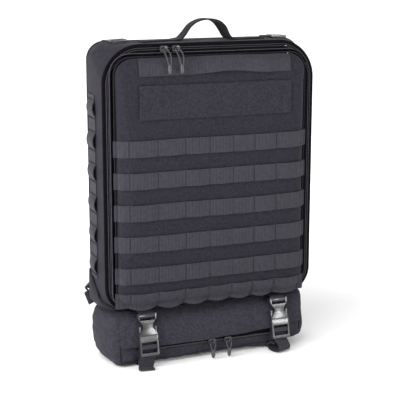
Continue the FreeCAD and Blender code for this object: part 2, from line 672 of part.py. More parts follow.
def webbing_loop(label, high, low, k="1", tail=None):
    """Webbing round a bar between two heights, in the buckle's thickness, with a tail up from its rear."""
    body = new_body(label)
    sketch = new_sketch(body, "YZ", f"-webbing_width * {k} / 2")
    middle, reach, skin = f"-buckle_thick * {k} / 2", f"(bar_thick * {k} / 2 + 0.1)", f"(webbing_thick * {k})"
    rectangle(sketch, f"{middle} - {reach} - {skin}", f"{low} - 0.1 - {skin}",
              f"{middle} + {reach} + {skin}", f"{high} + 0.1 + {skin}", "o")
    rectangle(sketch, f"{middle} - {reach}", f"{low} - 0.1", f"{middle} + {reach}", f"{high} + 0.1", "i")
    pad(body, sketch, f"webbing_width * {k}")
    if tail:
        more = new_sketch(body, "YZ", f"-webbing_width * {k} / 2")
        rectangle(more, f"{middle} + {reach}", high, f"{middle} + {reach} + {skin}", f"{high} + {tail}")
        pad(body, more, f"webbing_width * {k}")
    return body


def front_straps():
    for side, sign in SIDES:
        x = f"{sign} * front_strap_x"
        socket = socket_half(f"buckle_socket_{side}")
        plug = plug_half(f"buckle_plug_{side}")
        upper = webbing_loop(f"upper_strap_{side}", "0", "-bar_height", tail="3")
        bar = "(socket_length + base_length + 5.5)"
        wrap = webbing_loop(f"plug_webbing_{side}", f"-{bar}", f"-{bar} - bar_height")
        for piece in (socket, plug, upper, wrap):
            lean_on_pouch(piece, x, "buckle_drop", "buckle_lift")
        keep(socket, plug, wrap)
        keep(group(f"front_strap_{side}", [upper, lower_strap(f"lower_strap_{side}", x)]))


def lower_strap(label, x):
    """Webbing from behind the plug, down the pouch's front, and under the pouch to its rear edge."""
    body = new_body(label)
    sketch = new_sketch(body, "YZ", "-webbing_width / 2")
    lift, skin = "(flap_thick + 0.4)", "webbing_thick"
    begin = "(socket_length + base_length)"
    clear = "(tape_thick + coil_height + 0.4)"

    def on_front(out):
        return (f"{FRONT} - {begin} * sin({LEAN}) - ({out}) * cos({LEAN})",
                f"pouch_height - {begin} * cos({LEAN}) + ({out}) * sin({LEAN})")

    slant = f"({FRONT} - pouch_belly + pouch_chamfer)"
    inner = [on_front(lift), (f"{POUCH_FRONT} - {clear}", "belly_rise"),
             (f"{POUCH_FRONT} - {clear}", f"pouch_chamfer + {clear} - 1"),
             (f"{slant} - 1 - 2", "2"), (f"{REAR} - pouch_chamfer - 4", "2")]
    outer = [(f"{REAR} - pouch_chamfer - 4", f"2 - {skin}"), (f"{slant} - 3 - 0.75 * {skin}", f"2 - {skin}"),
             (f"{POUCH_FRONT} - {clear} - {skin}", f"pouch_chamfer + {clear} - 1 - 0.41 * {skin}"),
             (f"{POUCH_FRONT} - {clear} - {skin}", "belly_rise"), on_front(f"{lift} + {skin}")]
    outline(sketch, inner + outer)
    pad(body, sketch, "webbing_width")
    place(body, (x, "0", "0"))
    return body


def sternum_strap():
    """A short strap across the shoulder straps, with a small side-release buckle that faces the rear."""
    k = "sternum_scale"
    z = f"({FLOOR} + sternum_height)"
    y = f"({REAR} + pad_thick + 1 + strap_thick)"
    turn = Rotation(Vector(0, 0, 1), 180) * Rotation(Vector(0, 1, 0), 90)
    bar = f"((socket_length + base_length + 5.5) * {k})"
    pieces = [(socket_half("sternum_socket", k)), (plug_half("sternum_plug", k)),
              webbing_loop("sternum_socket_webbing", "0", f"-bar_height * {k}", k),
              webbing_loop("sternum_plug_webbing", f"-{bar}", f"-{bar} - bar_height * {k}", k)]
    for piece in pieces:
        piece.Placement = Placement(Vector(0, 0, 0), turn)
        place(piece, (f"-socket_length * {k}", f"{y} + webbing_thick + 0.6", z))
    keep(pieces[0], pieces[1], pieces[3])
    inner_edge = "(strap_x - strap_width / 2)"
    left_end = f"(-socket_length * {k} - webbing_thick - 1)"
    left = block("sternum_run_left", f"{left_end} + {inner_edge} + 12", "webbing_thick",
                 f"webbing_width * {k}",
                 (f"-{inner_edge} - 12", y, f"{z} - webbing_width * {k} / 2"))
    keep(group("sternum_strap_left", [pieces[2], left]))
    right_start = f"((base_length) * {k})"
    keep(block("sternum_strap_right", f"{inner_edge} + 12 - {right_start}", "webbing_thick",
               f"webbing_width * {k}",
               (right_start, y, f"{z} - webbing_width * {k} / 2")))


# zipper sliders and pulls
def slider(label, at):
    """A channel-shaped plate over both coils, with an eye for the pull cord. at is the eye's centre."""
    body = new_body(label)
    tall = "(2 * coil_width + seam_gap + 4)"
    back = "(eye_radius - 0.6)"
    plate_sketch = new_sketch(body, "XZ", f"-{back} - slider_thick")
    rounded(plate_sketch, "slider_width", tall, "2.5", "2.5")
    pad(body, plate_sketch, "slider_thick")
    lips = new_sketch(body, "XZ", f"-{back} - slider_thick - coil_height + 0.4")
    for i, sign in enumerate((-1, 1)):
        low, high = f"{sign} * ({tall} / 2 - 1.4)", f"{sign} * {tall} / 2"
        ends = (high, low) if sign < 0 else (low, high)
        rectangle(lips, "-slider_width / 2 + 2.6", ends[0], "slider_width / 2 - 2.6", ends[1], f"l{i}")
    pad(body, lips, "coil_height")
    eye = new_sketch(body, "YZ", "-1")
    for name, radius in (("outer", "eye_radius"), ("hole", "eye_hole")):
        index = eye.addGeometry(Part.Circle(Vector(0, 0, 0), Vector(0, 0, 1), size(radius)), False)
        eye.addConstraint(Sketcher.Constraint("Coincident", index, 3, -1, 1))
        tie(eye, name, radius, "Radius", index)
    pad(body, eye, "2")
    place(body, at)
    return keep(body)


def rounded_path(points, shares):
    """Straight runs through the points, joined at each inner point by an arc that takes its share of them."""
    edges, start, radii = [], points[0], []
    for i in range(1, len(points) - 1):
        corner = points[i]
        back, onward = (points[i - 1] - corner), (points[i + 1] - corner)
        reach = shares[i - 1] * min(back.Length, onward.Length)
        back.normalize()
        onward.normalize()
        first, last = corner + back * reach, corner + onward * reach
        half_turn = (math.pi - back.getAngle(onward)) / 2
        radius = reach / math.tan(half_turn)
        centre = corner + (back + onward).normalize() * (reach * reach + radius * radius) ** 0.5
        middle = centre + (corner - centre).normalize() * radius
        if (first - start).Length > 0.001:
            edges.append(Part.LineSegment(start, first).toShape())
        edges.append(Part.Arc(first, middle, last).toShape())
        start = last
        radii.append(round(radius, 1))
    edges.append(Part.LineSegment(start, points[-1]).toShape())
    return Part.Wire(edges), radii


def pull_cord(label, eye, bend, foot, spread):
    """A cord folded through an eye. Both strands run over bend and end side by side in the end at foot."""
    top, turn, low = [Vector(*[size(text) for text in spot]) for spot in (eye, bend, foot)]
    fold, wire_radius, near = size("cord_fold"), size("cord_size") / 2, size(spread)
    side = Vector(1, 0, 0)
    points = [low - side * near, turn - side * fold, top - side * fold, top + side * fold,
              turn + side * fold, low + side * near]
    path, radii = rounded_path(points, (0.45, 0.5, 0.5, 0.45))
    start = Part.Circle(points[0], (points[1] - points[0]).normalize(), wire_radius)
    shape = path.makePipeShell([Part.Wire([start.toShape()])], True, True)
    ratio = shape.Volume / (math.pi * wire_radius ** 2 * path.Length)
    print(f"{label}: length {path.Length:.1f} mm, radii {radii} mm, volume ratio {ratio:.4f}")
    piece = doc.addObject("Part::Feature", label)
    piece.Label = label
    piece.Shape = shape
    return keep(piece)


def cord_end(label, foot):
    """The moulded end that grips both ends of a pull cord: a capsule below foot."""
    body = new_body(label)
    sketch = new_sketch(body, "XY")
    circle = Part.Circle(Vector(0, 0, 0), Vector(0, 0, 1), size("cord_end_size / 2"))
    index = sketch.addGeometry(circle, False)
    sketch.addConstraint(Sketcher.Constraint("Coincident", index, 3, -1, 1))
    tie(sketch, "size", "cord_end_size / 2", "Radius", index)
    pad(body, sketch, "cord_end_length", against=True)
    soften(body, "cord_end_size / 2 - 1.2", lambda e: e.BoundBox.ZLength < 0.01)
    x, y, z = foot
    place(body, (x, y, f"{z} + 1.5"))
    return keep(body)


def lid_pulls():
    z = f"({TOP} - tape_width - seam_gap / 2)"
    y = f"({FRONT} - tape_thick - coil_height - 0.5 - slider_thick - eye_radius + 0.6)"
    over = f"({LID_FRONT} - grab_lift - grab_thick - cord_end_size / 2)"
    for side in ("left", "right"):
        x = f"{side}_slider_x"
        slider(f"lid_slider_{side}", (x, y, z))
        foot = (x, f"{over} - 1", f"{LID_TOP} - 16")
        pull_cord(f"lid_pull_cord_{side}", (x, y, z), (x, over, f"{LID_TOP} - 3"), foot, "1.9")
        cord_end(f"lid_pull_end_{side}", foot)


def pouch_pulls():
    y = f"({POUCH_FRONT} - tape_thick - coil_height - 0.5 - slider_thick - eye_radius + 0.6)"
    for side in ("left", "right"):
        x = f"{side}_zip_x"
        slider(f"pouch_slider_{side}", (x, y, "zip_height"))
        foot = (x, f"{y} - 2", "zip_height - 13")
        bend = (x, f"{y} - 1.6", "zip_height - 7.5")
        pull_cord(f"pouch_pull_cord_{side}", (x, y, "zip_height"), bend, foot, "1.9")
        cord_end(f"pouch_pull_end_{side}", foot)


# the whole object
main_compartment()
zippers()
side_webbing()
lid()
carry_handle()
load_lifters()
back_pads()
shoulder_straps()
pouch()
front_straps()
sternum_strap()
lid_pulls()
pouch_pulls()
doc.recompute()

failed = [o.Name for o in doc.Objects if "Invalid" in o.State or "Error" in o.State]
if failed:
    raise RuntimeError(f"these objects failed: {failed}")
os.makedirs("parts", exist_ok=True)
for piece in NODES:
    shape = piece.Shape
    if shape.isNull() or not shape.isValid() or not shape.Solids:
        raise RuntimeError(f"{piece.Label} has no valid solid")
    shape.exportStep(f"parts/{piece.Label}.step")
print(len(NODES), "nodes")
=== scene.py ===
import math

import bmesh
import bpy
from mathutils import Matrix, Vector, noise
from mathutils.bvhtree import BVHTree


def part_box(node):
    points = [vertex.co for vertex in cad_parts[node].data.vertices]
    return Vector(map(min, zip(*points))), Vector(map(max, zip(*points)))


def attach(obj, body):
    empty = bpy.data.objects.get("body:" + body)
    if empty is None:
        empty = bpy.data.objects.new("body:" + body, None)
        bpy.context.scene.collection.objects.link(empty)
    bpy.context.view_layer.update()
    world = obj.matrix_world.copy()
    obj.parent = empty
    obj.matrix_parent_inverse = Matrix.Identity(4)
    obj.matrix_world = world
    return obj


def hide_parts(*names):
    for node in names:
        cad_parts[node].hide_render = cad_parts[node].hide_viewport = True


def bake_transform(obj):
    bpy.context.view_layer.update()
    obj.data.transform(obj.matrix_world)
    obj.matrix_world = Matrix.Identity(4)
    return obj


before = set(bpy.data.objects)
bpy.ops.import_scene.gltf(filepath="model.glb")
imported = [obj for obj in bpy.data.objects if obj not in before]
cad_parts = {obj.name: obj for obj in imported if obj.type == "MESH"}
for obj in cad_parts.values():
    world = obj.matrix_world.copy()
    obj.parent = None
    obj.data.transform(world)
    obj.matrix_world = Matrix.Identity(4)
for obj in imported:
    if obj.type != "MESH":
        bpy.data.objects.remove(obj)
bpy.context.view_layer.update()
mm = 0.001
sides = (("left", -1), ("right", 1))
print("frame loaded:", len(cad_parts), "nodes")

# places that the soft goods hang on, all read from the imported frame
gussetLow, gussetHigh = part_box("side_gusset")
panelLow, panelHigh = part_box("lid_panel")
pouchLow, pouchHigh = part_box("pouch_shell")
bodyWidth = gussetHigh.x - gussetLow.x
bodyHeight = gussetHigh.z - gussetLow.z
bodyFoot, bodyTop = gussetLow.z, gussetHigh.z
bodyMiddle = (bodyFoot + bodyTop) / 2
zipPlane = gussetLow.y
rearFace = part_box("back_panel")[1].y
lidWidth = panelHigh.x - panelLow.x

# radii of the body's corners at the zipper and at the rear
corners = {"top": 60 * mm, "foot": 40 * mm, "rearTop": 27 * mm, "rearFoot": 12 * mm}


# camera
shot = {"at": (-0.68915, -1.69886, 0.6494), "turn": -22.09, "tilt": 12.26, "lens": 103.4, "far": 100}
bpy.ops.object.camera_add(location=shot["at"],
                          rotation=(math.radians(90 - shot["tilt"]), 0, math.radians(shot["turn"])))
camera = bpy.context.object
camera.data.lens = shot["lens"]
camera.data.clip_end = shot["far"]
bpy.context.scene.camera = camera


# nodes for the materials
def addNode(tree, kind, **facts):
    node = tree.nodes.new(kind)
    for key, value in facts.items():
        setattr(node, key, value)
    return node


def feed(tree, socket, source):
    if isinstance(source, (int, float, tuple)):
        socket.default_value = source
    else:
        tree.links.new(source, socket)


def mathNode(tree, operation, first, second=0.0, third=None):
    node = addNode(tree, "ShaderNodeMath", operation=operation)
    feed(tree, node.inputs[0], first)
    feed(tree, node.inputs[1], second)
    if third is not None:
        feed(tree, node.inputs[2], third)
    return node.outputs[0]


def startGroup(name, inputs, outputs):
    group = bpy.data.node_groups.new(name, "ShaderNodeTree")
    for socket, kind in inputs:
        group.interface.new_socket(socket, in_out="INPUT", socket_type=kind)
    for socket in outputs:
        group.interface.new_socket(socket, in_out="OUTPUT", socket_type="NodeSocketFloat")
    return group, addNode(group, "NodeGroupInput").outputs, addNode(group, "NodeGroupOutput").inputs


def makeWeave():
    # over-and-under threads, readable on faces that look along any axis
    sockets = [("Vector", "NodeSocketVector"), ("Threads", "NodeSocketFloat")]
    group, given, out = startGroup("plainWeave", sockets, ["Height"])
    split = addNode(group, "ShaderNodeSeparateXYZ")
    group.links.new(given[0], split.inputs[0])
    x, y, z = split.outputs
    across = mathNode(group, "MULTIPLY_ADD", y, 0.83, x)
    upward = mathNode(group, "MULTIPLY_ADD", y, 0.41, z)
    turns = mathNode(group, "MULTIPLY", given[1], math.pi)
    waves = [mathNode(group, "SINE", mathNode(group, "MULTIPLY", c, turns)) for c in (across, upward)]
    both = mathNode(group, "MULTIPLY", *waves)
    group.links.new(mathNode(group, "MULTIPLY_ADD", both, 0.5, 0.5), out[0])
    return group


def makeRibs():
    # ridges that repeat along one direction
    sockets = [("Vector", "NodeSocketVector"), ("Along", "NodeSocketVector"), ("Count", "NodeSocketFloat")]
    group, given, out = startGroup("ribs", sockets, ["Height"])
    dot = addNode(group, "ShaderNodeVectorMath", operation="DOT_PRODUCT")
    group.links.new(given[0], dot.inputs[0])
    group.links.new(given[1], dot.inputs[1])
    turns = mathNode(group, "MULTIPLY", given[2], 2 * math.pi)
    wave = mathNode(group, "SINE", mathNode(group, "MULTIPLY", dot.outputs["Value"], turns))
    group.links.new(mathNode(group, "MULTIPLY_ADD", wave, 0.5, 0.5), out[0])
    return group


def makeFade():
    # broad fading plus fine fibre speckle, as a mask from 0 to 1
    sockets = [("Vector", "NodeSocketVector"), ("Broad", "NodeSocketFloat"), ("Fine", "NodeSocketFloat")]
    group, given, out = startGroup("fade", sockets, ["Broad", "Fine"])
    for i, detail in enumerate((5.0, 2.0)):
        cloud = addNode(group, "ShaderNodeTexNoise")
        group.links.new(given[0], cloud.inputs["Vector"])
        group.links.new(given[i + 1], cloud.inputs["Scale"])
        cloud.inputs["Detail"].default_value = detail
        group.links.new(mathNode(group, "MULTIPLY_ADD", cloud.outputs["Fac"], 2.0, -0.5), out[i])
    return group


groups = {"weave": makeWeave(), "ribs": makeRibs(), "fade": makeFade()}


def useGroup(tree, name, **inputs):
    node = addNode(tree, "ShaderNodeGroup", node_tree=groups[name])
    for key, value in inputs.items():
        feed(tree, node.inputs[key], value)
    return node.outputs


def mixColours(tree, share, first, second):
    mix = addNode(tree, "ShaderNodeMix", data_type="RGBA")
    feed(tree, mix.inputs["Factor"], share)
    sockets = [s for s in mix.inputs if s.type == "RGBA"]
    for socket, colour in zip(sockets, (first, second)):
        feed(tree, socket, colour)
    return [s for s in mix.outputs if s.type == "RGBA"][0]


def startMaterial(name):
    material = bpy.data.materials.new(name)
    material.use_nodes = True
    tree = material.node_tree
    shader = tree.nodes["Principled BSDF"]
    where = addNode(tree, "ShaderNodeTexCoord").outputs["Object"]
    return material, tree, shader, where


def addBump(tree, shader, height, strength, distance):
    bump = addNode(tree, "ShaderNodeBump")
    bump.inputs["Strength"].default_value = strength
    bump.inputs["Distance"].default_value = distance
    tree.links.new(height, bump.inputs["Height"])
    tree.links.new(bump.outputs["Normal"], shader.inputs["Normal"])


def shade(colour, gain):
    return tuple(min(1.0, c * gain) for c in colour[:3]) + (1.0,)


clothLook = {"cloud": 11.0, "fibre": 420.0, "slub": 240.0, "fuzz": 620.0, "contrast": 0.35, "dark": 0.55,
             "pale": 1.5, "slubShare": 0.8, "weaveShare": 0.4, "sheenRoughness": 0.5, "bump": 0.55}


def clothMaterial(name, colour, threads, depth, roughness=0.82, sheen=0.04, gloss=0.12):
    # woven cloth: broad fading, slubs along the yarn and a fine weave, with painted shade darkening the
    # weave's gaps
    look = clothLook
    material, tree, shader, where = startMaterial(name)
    fade = useGroup(tree, "fade", Vector=where, Broad=look["cloud"], Fine=look["fibre"])
    weave = useGroup(tree, "weave", Vector=where, Threads=threads)["Height"]
    slub = useGroup(tree, "fade", Vector=where, Broad=look["slub"], Fine=look["fuzz"])
    fuzz = mathNode(tree, "MULTIPLY_ADD", slub["Fine"], 0.7, -0.4)
    patchy = mathNode(tree, "MULTIPLY_ADD", slub["Broad"], 1.1, fuzz)
    half = look["contrast"] / 2
    tone = mixColours(tree, fade["Broad"], shade(colour, 1 - half), shade(colour, 1 + half))
    slubby = mixColours(tree, patchy, shade(colour, look["dark"]), shade(colour, look["pale"]))
    mixed = mixColours(tree, look["slubShare"], tone, slubby)
    # painted shade: the colour darkens along the weave pattern, standing in for shade in the gaps between
    # threads
    gaps = mathNode(tree, "MULTIPLY", weave, look["weaveShare"])
    fadeAndWeaveShade = mixColours(tree, gaps, mixed, shade(colour, look["dark"]))
    tree.links.new(fadeAndWeaveShade, shader.inputs["Base Color"])
    rough = mathNode(tree, "MULTIPLY_ADD", fade["Fine"], 0.1, roughness - 0.05)
    tree.links.new(rough, shader.inputs["Roughness"])
    shader.inputs["Sheen Weight"].default_value = sheen
    shader.inputs["Sheen Roughness"].default_value = look["sheenRoughness"]
    shader.inputs["Specular IOR Level"].default_value = gloss
    height = mathNode(tree, "MULTIPLY_ADD", fade["Fine"], 0.5, weave)
    addBump(tree, shader, height, look["bump"], depth)
    return material


webbingLook = {"cloud": 26.0, "fibre": 600.0, "uneven": 160.0, "fuzz": 900.0, "lines": 0.42,
               "threads": 1500.0, "dark": 0.5, "pale": 1.5, "fadeAndWeaveShade": 1.25, "roughness": 0.7, "sheen": 0.03,
               "gloss": 0.14, "bump": 0.7, "depth": 0.35 * mm}


def webbingMaterial(name, colour, ribs=420.0):
    # ribs across the strap, read from the strip's own flat map in metres; the ribs carry painted shade in
    # their grooves and painted light on their tops
    look = webbingLook
    along = (1.0, 0.0, 0.0)
    material, tree, shader, where = startMaterial(name)
    flat = addNode(tree, "ShaderNodeUVMap", uv_map="UVMap").outputs["UV"]
    fade = useGroup(tree, "fade", Vector=where, Broad=look["cloud"], Fine=look["fibre"])
    uneven = useGroup(tree, "fade", Vector=flat, Broad=look["uneven"], Fine=look["fuzz"])
    rib = useGroup(tree, "ribs", Vector=flat, Along=along, Count=ribs)["Height"]
    lines = useGroup(tree, "ribs", Vector=flat, Along=along, Count=ribs * look["lines"])["Height"]
    thread = useGroup(tree, "weave", Vector=flat, Threads=look["threads"])["Height"]
    # painted shade and light on the ribs; the uneven mask is the webbing's own tone
    ribShading = mathNode(tree, "MULTIPLY_ADD", lines, 0.14, mathNode(tree, "MULTIPLY", rib, 0.42))
    mask = mathNode(tree, "MULTIPLY_ADD", uneven["Broad"], 0.45, ribShading)
    tone = mixColours(tree, mask, shade(colour, look["dark"]), shade(colour, look["pale"]))
    faded = mathNode(tree, "MULTIPLY", fade["Broad"], 0.3)
    fadeAndWeaveShade = mixColours(tree, faded, tone, shade(colour, look["fadeAndWeaveShade"]))
    tree.links.new(fadeAndWeaveShade, shader.inputs["Base Color"])
    rough = mathNode(tree, "MULTIPLY_ADD", fade["Fine"], 0.12, look["roughness"] - 0.06)
    tree.links.new(rough, shader.inputs["Roughness"])
    shader.inputs["Sheen Weight"].default_value = look["sheen"]
    shader.inputs["Specular IOR Level"].default_value = look["gloss"]
    height = mathNode(tree, "MULTIPLY_ADD", thread, 0.4, rib)
    addBump(tree, shader, height, look["bump"], look["depth"])
    return material


plasticLook = {"cloud": 60.0, "grain": 1500.0, "dark": 0.85, "pale": 1.2, "coatRoughness": 0.22, "bump": 0.25,
               "depth": 0.05 * mm}


def plasticMaterial(name, colour, roughness, coat=0.0):
    look = plasticLook
    material, tree, shader, where = startMaterial(name)
    fade = useGroup(tree, "fade", Vector=where, Broad=look["cloud"], Fine=look["grain"])
    tone = mixColours(tree, fade["Broad"], shade(colour, look["dark"]), shade(colour, look["pale"]))
    tree.links.new(tone, shader.inputs["Base Color"])
    rough = mathNode(tree, "MULTIPLY_ADD", fade["Broad"], 0.12, roughness - 0.06)
    tree.links.new(rough, shader.inputs["Roughness"])
    shader.inputs["Coat Weight"].default_value = coat
    shader.inputs["Coat Roughness"].default_value = look["coatRoughness"]
    addBump(tree, shader, fade["Fine"], look["bump"], look["depth"])
    return material


cordLook = {"threads": 950.0, "dark": 0.6, "pale": 1.6, "roughness": 0.6, "bump": 0.8, "depth": 0.3 * mm}


def cordMaterial(name, colour):
    look = cordLook
    material, tree, shader, where = startMaterial(name)
    weave = useGroup(tree, "weave", Vector=where, Threads=look["threads"])["Height"]
    tone = mixColours(tree, weave, shade(colour, look["dark"]), shade(colour, look["pale"]))
    tree.links.new(tone, shader.inputs["Base Color"])
    shader.inputs["Roughness"].default_value = look["roughness"]
    addBump(tree, shader, weave, look["bump"], look["depth"])
    return material


metalLook = {"cloud": 90.0, "grain": 900.0, "dark": 0.8, "pale": 1.5, "roughness": 0.3, "metal": 0.6,
             "coat": 0.3, "bump": 0.1, "depth": 0.05 * mm}


def metalMaterial(name, colour):
    look = metalLook
    material, tree, shader, where = startMaterial(name)
    fade = useGroup(tree, "fade", Vector=where, Broad=look["cloud"], Fine=look["grain"])
    tone = mixColours(tree, fade["Broad"], shade(colour, look["dark"]), shade(colour, look["pale"]))
    tree.links.new(tone, shader.inputs["Base Color"])
    rough = mathNode(tree, "MULTIPLY_ADD", fade["Fine"], 0.15, look["roughness"])
    tree.links.new(rough, shader.inputs["Roughness"])
    shader.inputs["Metallic"].default_value = look["metal"]
    shader.inputs["Coat Weight"].default_value = look["coat"]
    addBump(tree, shader, fade["Fine"], look["bump"], look["depth"])
    return material


colours = {"shell": (0.0158, 0.0147, 0.0210), "pouch": (0.0270, 0.0252, 0.0345),
           "patch": (0.0205, 0.0193, 0.0265), "mesh": (0.017, 0.016, 0.020), "lining": (0.075, 0.074, 0.080),
           "tape": (0.004, 0.003, 0.005), "binding": (0.009, 0.008, 0.011),
           "webbing": (0.0276, 0.0259, 0.0333), "piping": (0.048, 0.046, 0.058),
           "thread": (0.034, 0.032, 0.041), "teeth": (0.010, 0.009, 0.012), "buckle": (0.016, 0.016, 0.020),
           "grip": (0.011, 0.010, 0.013), "tack": (0.009, 0.008, 0.011), "sheet": (0.05, 0.05, 0.05),
           "cord": (0.022, 0.021, 0.026), "cordEnd": (0.03, 0.03, 0.034), "metal": (0.03, 0.03, 0.034)}
matShell = clothMaterial("shellNylon", colours["shell"], 900.0, 0.25 * mm)
# painted light: the pouch is the shell's nylon, given a paler colour to lift the shade it sits in
matPouchLightened = clothMaterial("pouchNylonPaintedLight", colours["pouch"], 900.0, 0.25 * mm)
matPatch = clothMaterial("loopPile", colours["patch"], 1300.0, 0.3 * mm, roughness=0.95, sheen=0.05)
matMesh = clothMaterial("spacerMesh", colours["mesh"], 330.0, 0.8 * mm, roughness=0.9)
matLining = clothMaterial("loopLining", colours["lining"], 1100.0, 0.3 * mm, roughness=0.95)
matTape = clothMaterial("zipperTape", colours["tape"], 1500.0, 0.12 * mm, roughness=0.75, sheen=0.0,
                        gloss=0.04)
matBinding = webbingMaterial("bindingTape", colours["binding"], ribs=900.0)
# partly painted light: the webbing is a paler cloth than the shell, its colour raised further so that the
# shell between the lid's rows stands in for the shade there
matWebbing = webbingMaterial("loadWebbing", colours["webbing"])
matPiping = webbingMaterial("pipingTape", colours["piping"], ribs=900.0)
matThread = clothMaterial("thread", colours["thread"], 2000.0, 0.2 * mm, roughness=0.6)
matTeeth = plasticMaterial("zipperCoil", colours["teeth"], 0.45)
matBuckle = plasticMaterial("buckleAcetal", colours["buckle"], 0.32, coat=0.6)
matGrip = webbingMaterial("gripWebbing", colours["grip"])
# painted shade: the bartack thread is far darker than the other thread, standing in for the shadow where the
# webbing dips at each tack
matTackShaded = clothMaterial("tackThreadShadowDark", colours["tack"], 2000.0, 0.2 * mm, roughness=0.7)
matSheet = plasticMaterial("frameSheet", colours["sheet"], 0.6)
matCord = cordMaterial("pullCord", colours["cord"])
matEnd = plasticMaterial("cordEnd", colours["cordEnd"], 0.38, coat=0.2)
matMetal = metalMaterial("sliderEnamel", colours["metal"])
print("materials made")


# helpers that shape and finish a piece
def pickNothing():
    if bpy.context.object and bpy.context.object.mode != "OBJECT":
        bpy.ops.object.mode_set(mode="OBJECT")
    bpy.ops.object.select_all(action="DESELECT")


def pick(piece):
    pickNothing()
    piece.select_set(True)
    bpy.context.view_layer.objects.active = piece


def applyAll(piece):
    pick(piece)
    for modifier in list(piece.modifiers):
        bpy.ops.object.modifier_apply(modifier=modifier.name)


def inEdit(piece, kind, wanted):
    # opens edit mode with just the wanted verts, edges or faces picked
    pick(piece)
    bpy.ops.object.mode_set(mode="EDIT")
    bpy.ops.mesh.select_mode(type=kind)
    bpy.ops.mesh.select_all(action="DESELECT")
    shape = bmesh.from_edit_mesh(piece.data)
    for part in {"VERT": shape.verts, "EDGE": shape.edges, "FACE": shape.faces}[kind]:
        if wanted(part):
            part.select_set(True)
    bmesh.update_edit_mesh(piece.data)


def closeEdit():
    bpy.ops.object.mode_set(mode="OBJECT")


def tidyMesh(piece, outward=True):
    inEdit(piece, "VERT", lambda v: True)
    bpy.ops.mesh.remove_doubles(threshold=0.00002)
    if outward:
        bpy.ops.mesh.normals_make_consistent(inside=False)
    closeEdit()


def smooth(piece, angle=40):
    pick(piece)
    bpy.ops.object.shade_smooth_by_angle(angle=math.radians(angle))


def settle(piece, material, body="pack", replaces=(), angle=40):
    # gives a finished piece its material and body, and hides the parts it replaces
    piece.data.materials.clear()
    piece.data.materials.append(material)
    smooth(piece, angle)
    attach(piece, body)
    if replaces:
        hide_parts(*replaces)
    return piece


def settleBlend(piece, material, replaces=()):
    piece.data.materials.append(material)
    smooth(piece)
    if replaces:
        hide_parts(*replaces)


def grid(name, along, across, place, thickness=0.0, flat=(1.0, 1.0), offset=0.0):
    # a flat grid bent into place: place(s, t) gives the spot for s along and t across, both 0 to 1
    pickNothing()
    bpy.ops.mesh.primitive_grid_add(x_subdivisions=along, y_subdivisions=across, size=1)
    piece = bpy.context.object
    piece.name = name
    for loop in piece.data.uv_layers[0].data:
        loop.uv = (loop.uv[0] * flat[0], loop.uv[1] * flat[1])
    for vertex in piece.data.vertices:
        vertex.co = place(vertex.co.x + 0.5, vertex.co.y + 0.5)
    tidyMesh(piece)
    if thickness:
        wall = piece.modifiers.new("wall", "SOLIDIFY")
        wall.thickness = thickness
        wall.offset = offset
        applyAll(piece)
        tidyMesh(piece)
    return piece


def join(pieces, name):
    pickNothing()
    for piece in pieces:
        piece.select_set(True)
    bpy.context.view_layer.objects.active = pieces[0]
    if len(pieces) > 1:
        bpy.ops.object.join()
    pieces[0].name = name
    return pieces[0]


def outlineAt(width, height, top, foot, like=None):
    # a rounded rectangle as a function of s from 0 to 1, anticlockwise from the middle of its foot;
    # like gives another outline whose parts take the same shares of s
    w, h = width / 2, height / 2
    parts = [("line", (0, -h), (1, 0), w - foot), ("arc", (w - foot, -h + foot), foot, -90),
             ("line", (w, -h + foot), (0, 1), 2 * h - foot - top), ("arc", (w - top, h - top), top, 0),
             ("line", (w - top, h), (-1, 0), 2 * (w - top)), ("arc", (-w + top, h - top), top, 90),
             ("line", (-w, h - top), (0, -1), 2 * h - foot - top), ("arc", (-w + foot, -h + foot), foot, 180),
             ("line", (-w + foot, -h), (1, 0), w - foot)]
    lengths = [p[3] if p[0] == "line" else p[2] * math.pi / 2 for p in parts]
    shares = like.lengths if like else lengths
    whole = sum(shares)

    def at(s):
        left = min(s * whole, whole - 1e-9)
        for part, length, share in zip(parts, lengths, shares):
            if left <= share:
                break
            left -= share
        left *= length / share
        if part[0] == "line":
            (x, z), (dx, dz) = part[1], part[2]
            return x + dx * left, z + dz * left, dz, -dx
        (x, z), radius, start = part[1], part[2], part[3]
        angle = math.radians(start) + left / max(radius, 1e-6)
        return x + radius * math.cos(angle), z + radius * math.sin(angle), math.cos(angle), math.sin(angle)

    at.lengths = lengths
    at.length = sum(lengths)
    return at


def bodyOutline(inset, depth=0.0, like=None):
    # the body's outline, whose corners get squarer from the zipper (depth 0) to the rear (depth 1)
    top = corners["top"] + (corners["rearTop"] - corners["top"]) * min(1.0, depth * 1.5)
    foot = corners["foot"] + (corners["rearFoot"] - corners["foot"]) * min(1.0, depth * 3.5)
    return outlineAt(bodyWidth - 2 * inset, bodyHeight - 2 * inset, top - inset, foot - inset, like)


def wander(x, y, z, scale):
    return noise.noise(Vector((x, y, z)) * scale)


# padded pieces by cloth simulation
def slab(name, low, high, top, foot):
    # a rounded upright slab: a plane whose corners are rounded, pulled out to its depth
    pickNothing()
    centre = ((low.x + high.x) / 2, high.y, (low.z + high.z) / 2)
    bpy.ops.mesh.primitive_plane_add(size=1, location=centre, rotation=(math.pi / 2, 0, 0))
    piece = bpy.context.object
    piece.name = name
    piece.scale = (high.x - low.x, high.z - low.z, 1)
    bpy.ops.object.transform_apply(location=True, rotation=True, scale=True)
    for radius, upper in ((top, True), (foot, False)):
        def atCorner(v):
            return (v.co.z > centre[2]) == upper and abs(v.co.x - centre[0]) > 0.49 * (high.x - low.x)
        inEdit(piece, "VERT", atCorner)
        bpy.ops.mesh.bevel(offset=radius, segments=10, affect="VERTICES", clamp_overlap=False)
        closeEdit()
    inEdit(piece, "FACE", lambda f: True)
    bpy.ops.mesh.extrude_region_move(TRANSFORM_OT_translate={"value": (0, low.y - high.y, 0)})
    closeEdit()
    tidyMesh(piece)
    return piece


clothSim = {"quality": 4, "mass": 0.35, "stiffness": 12, "bending": 1.5, "pressure": 4.0, "frames": 20}


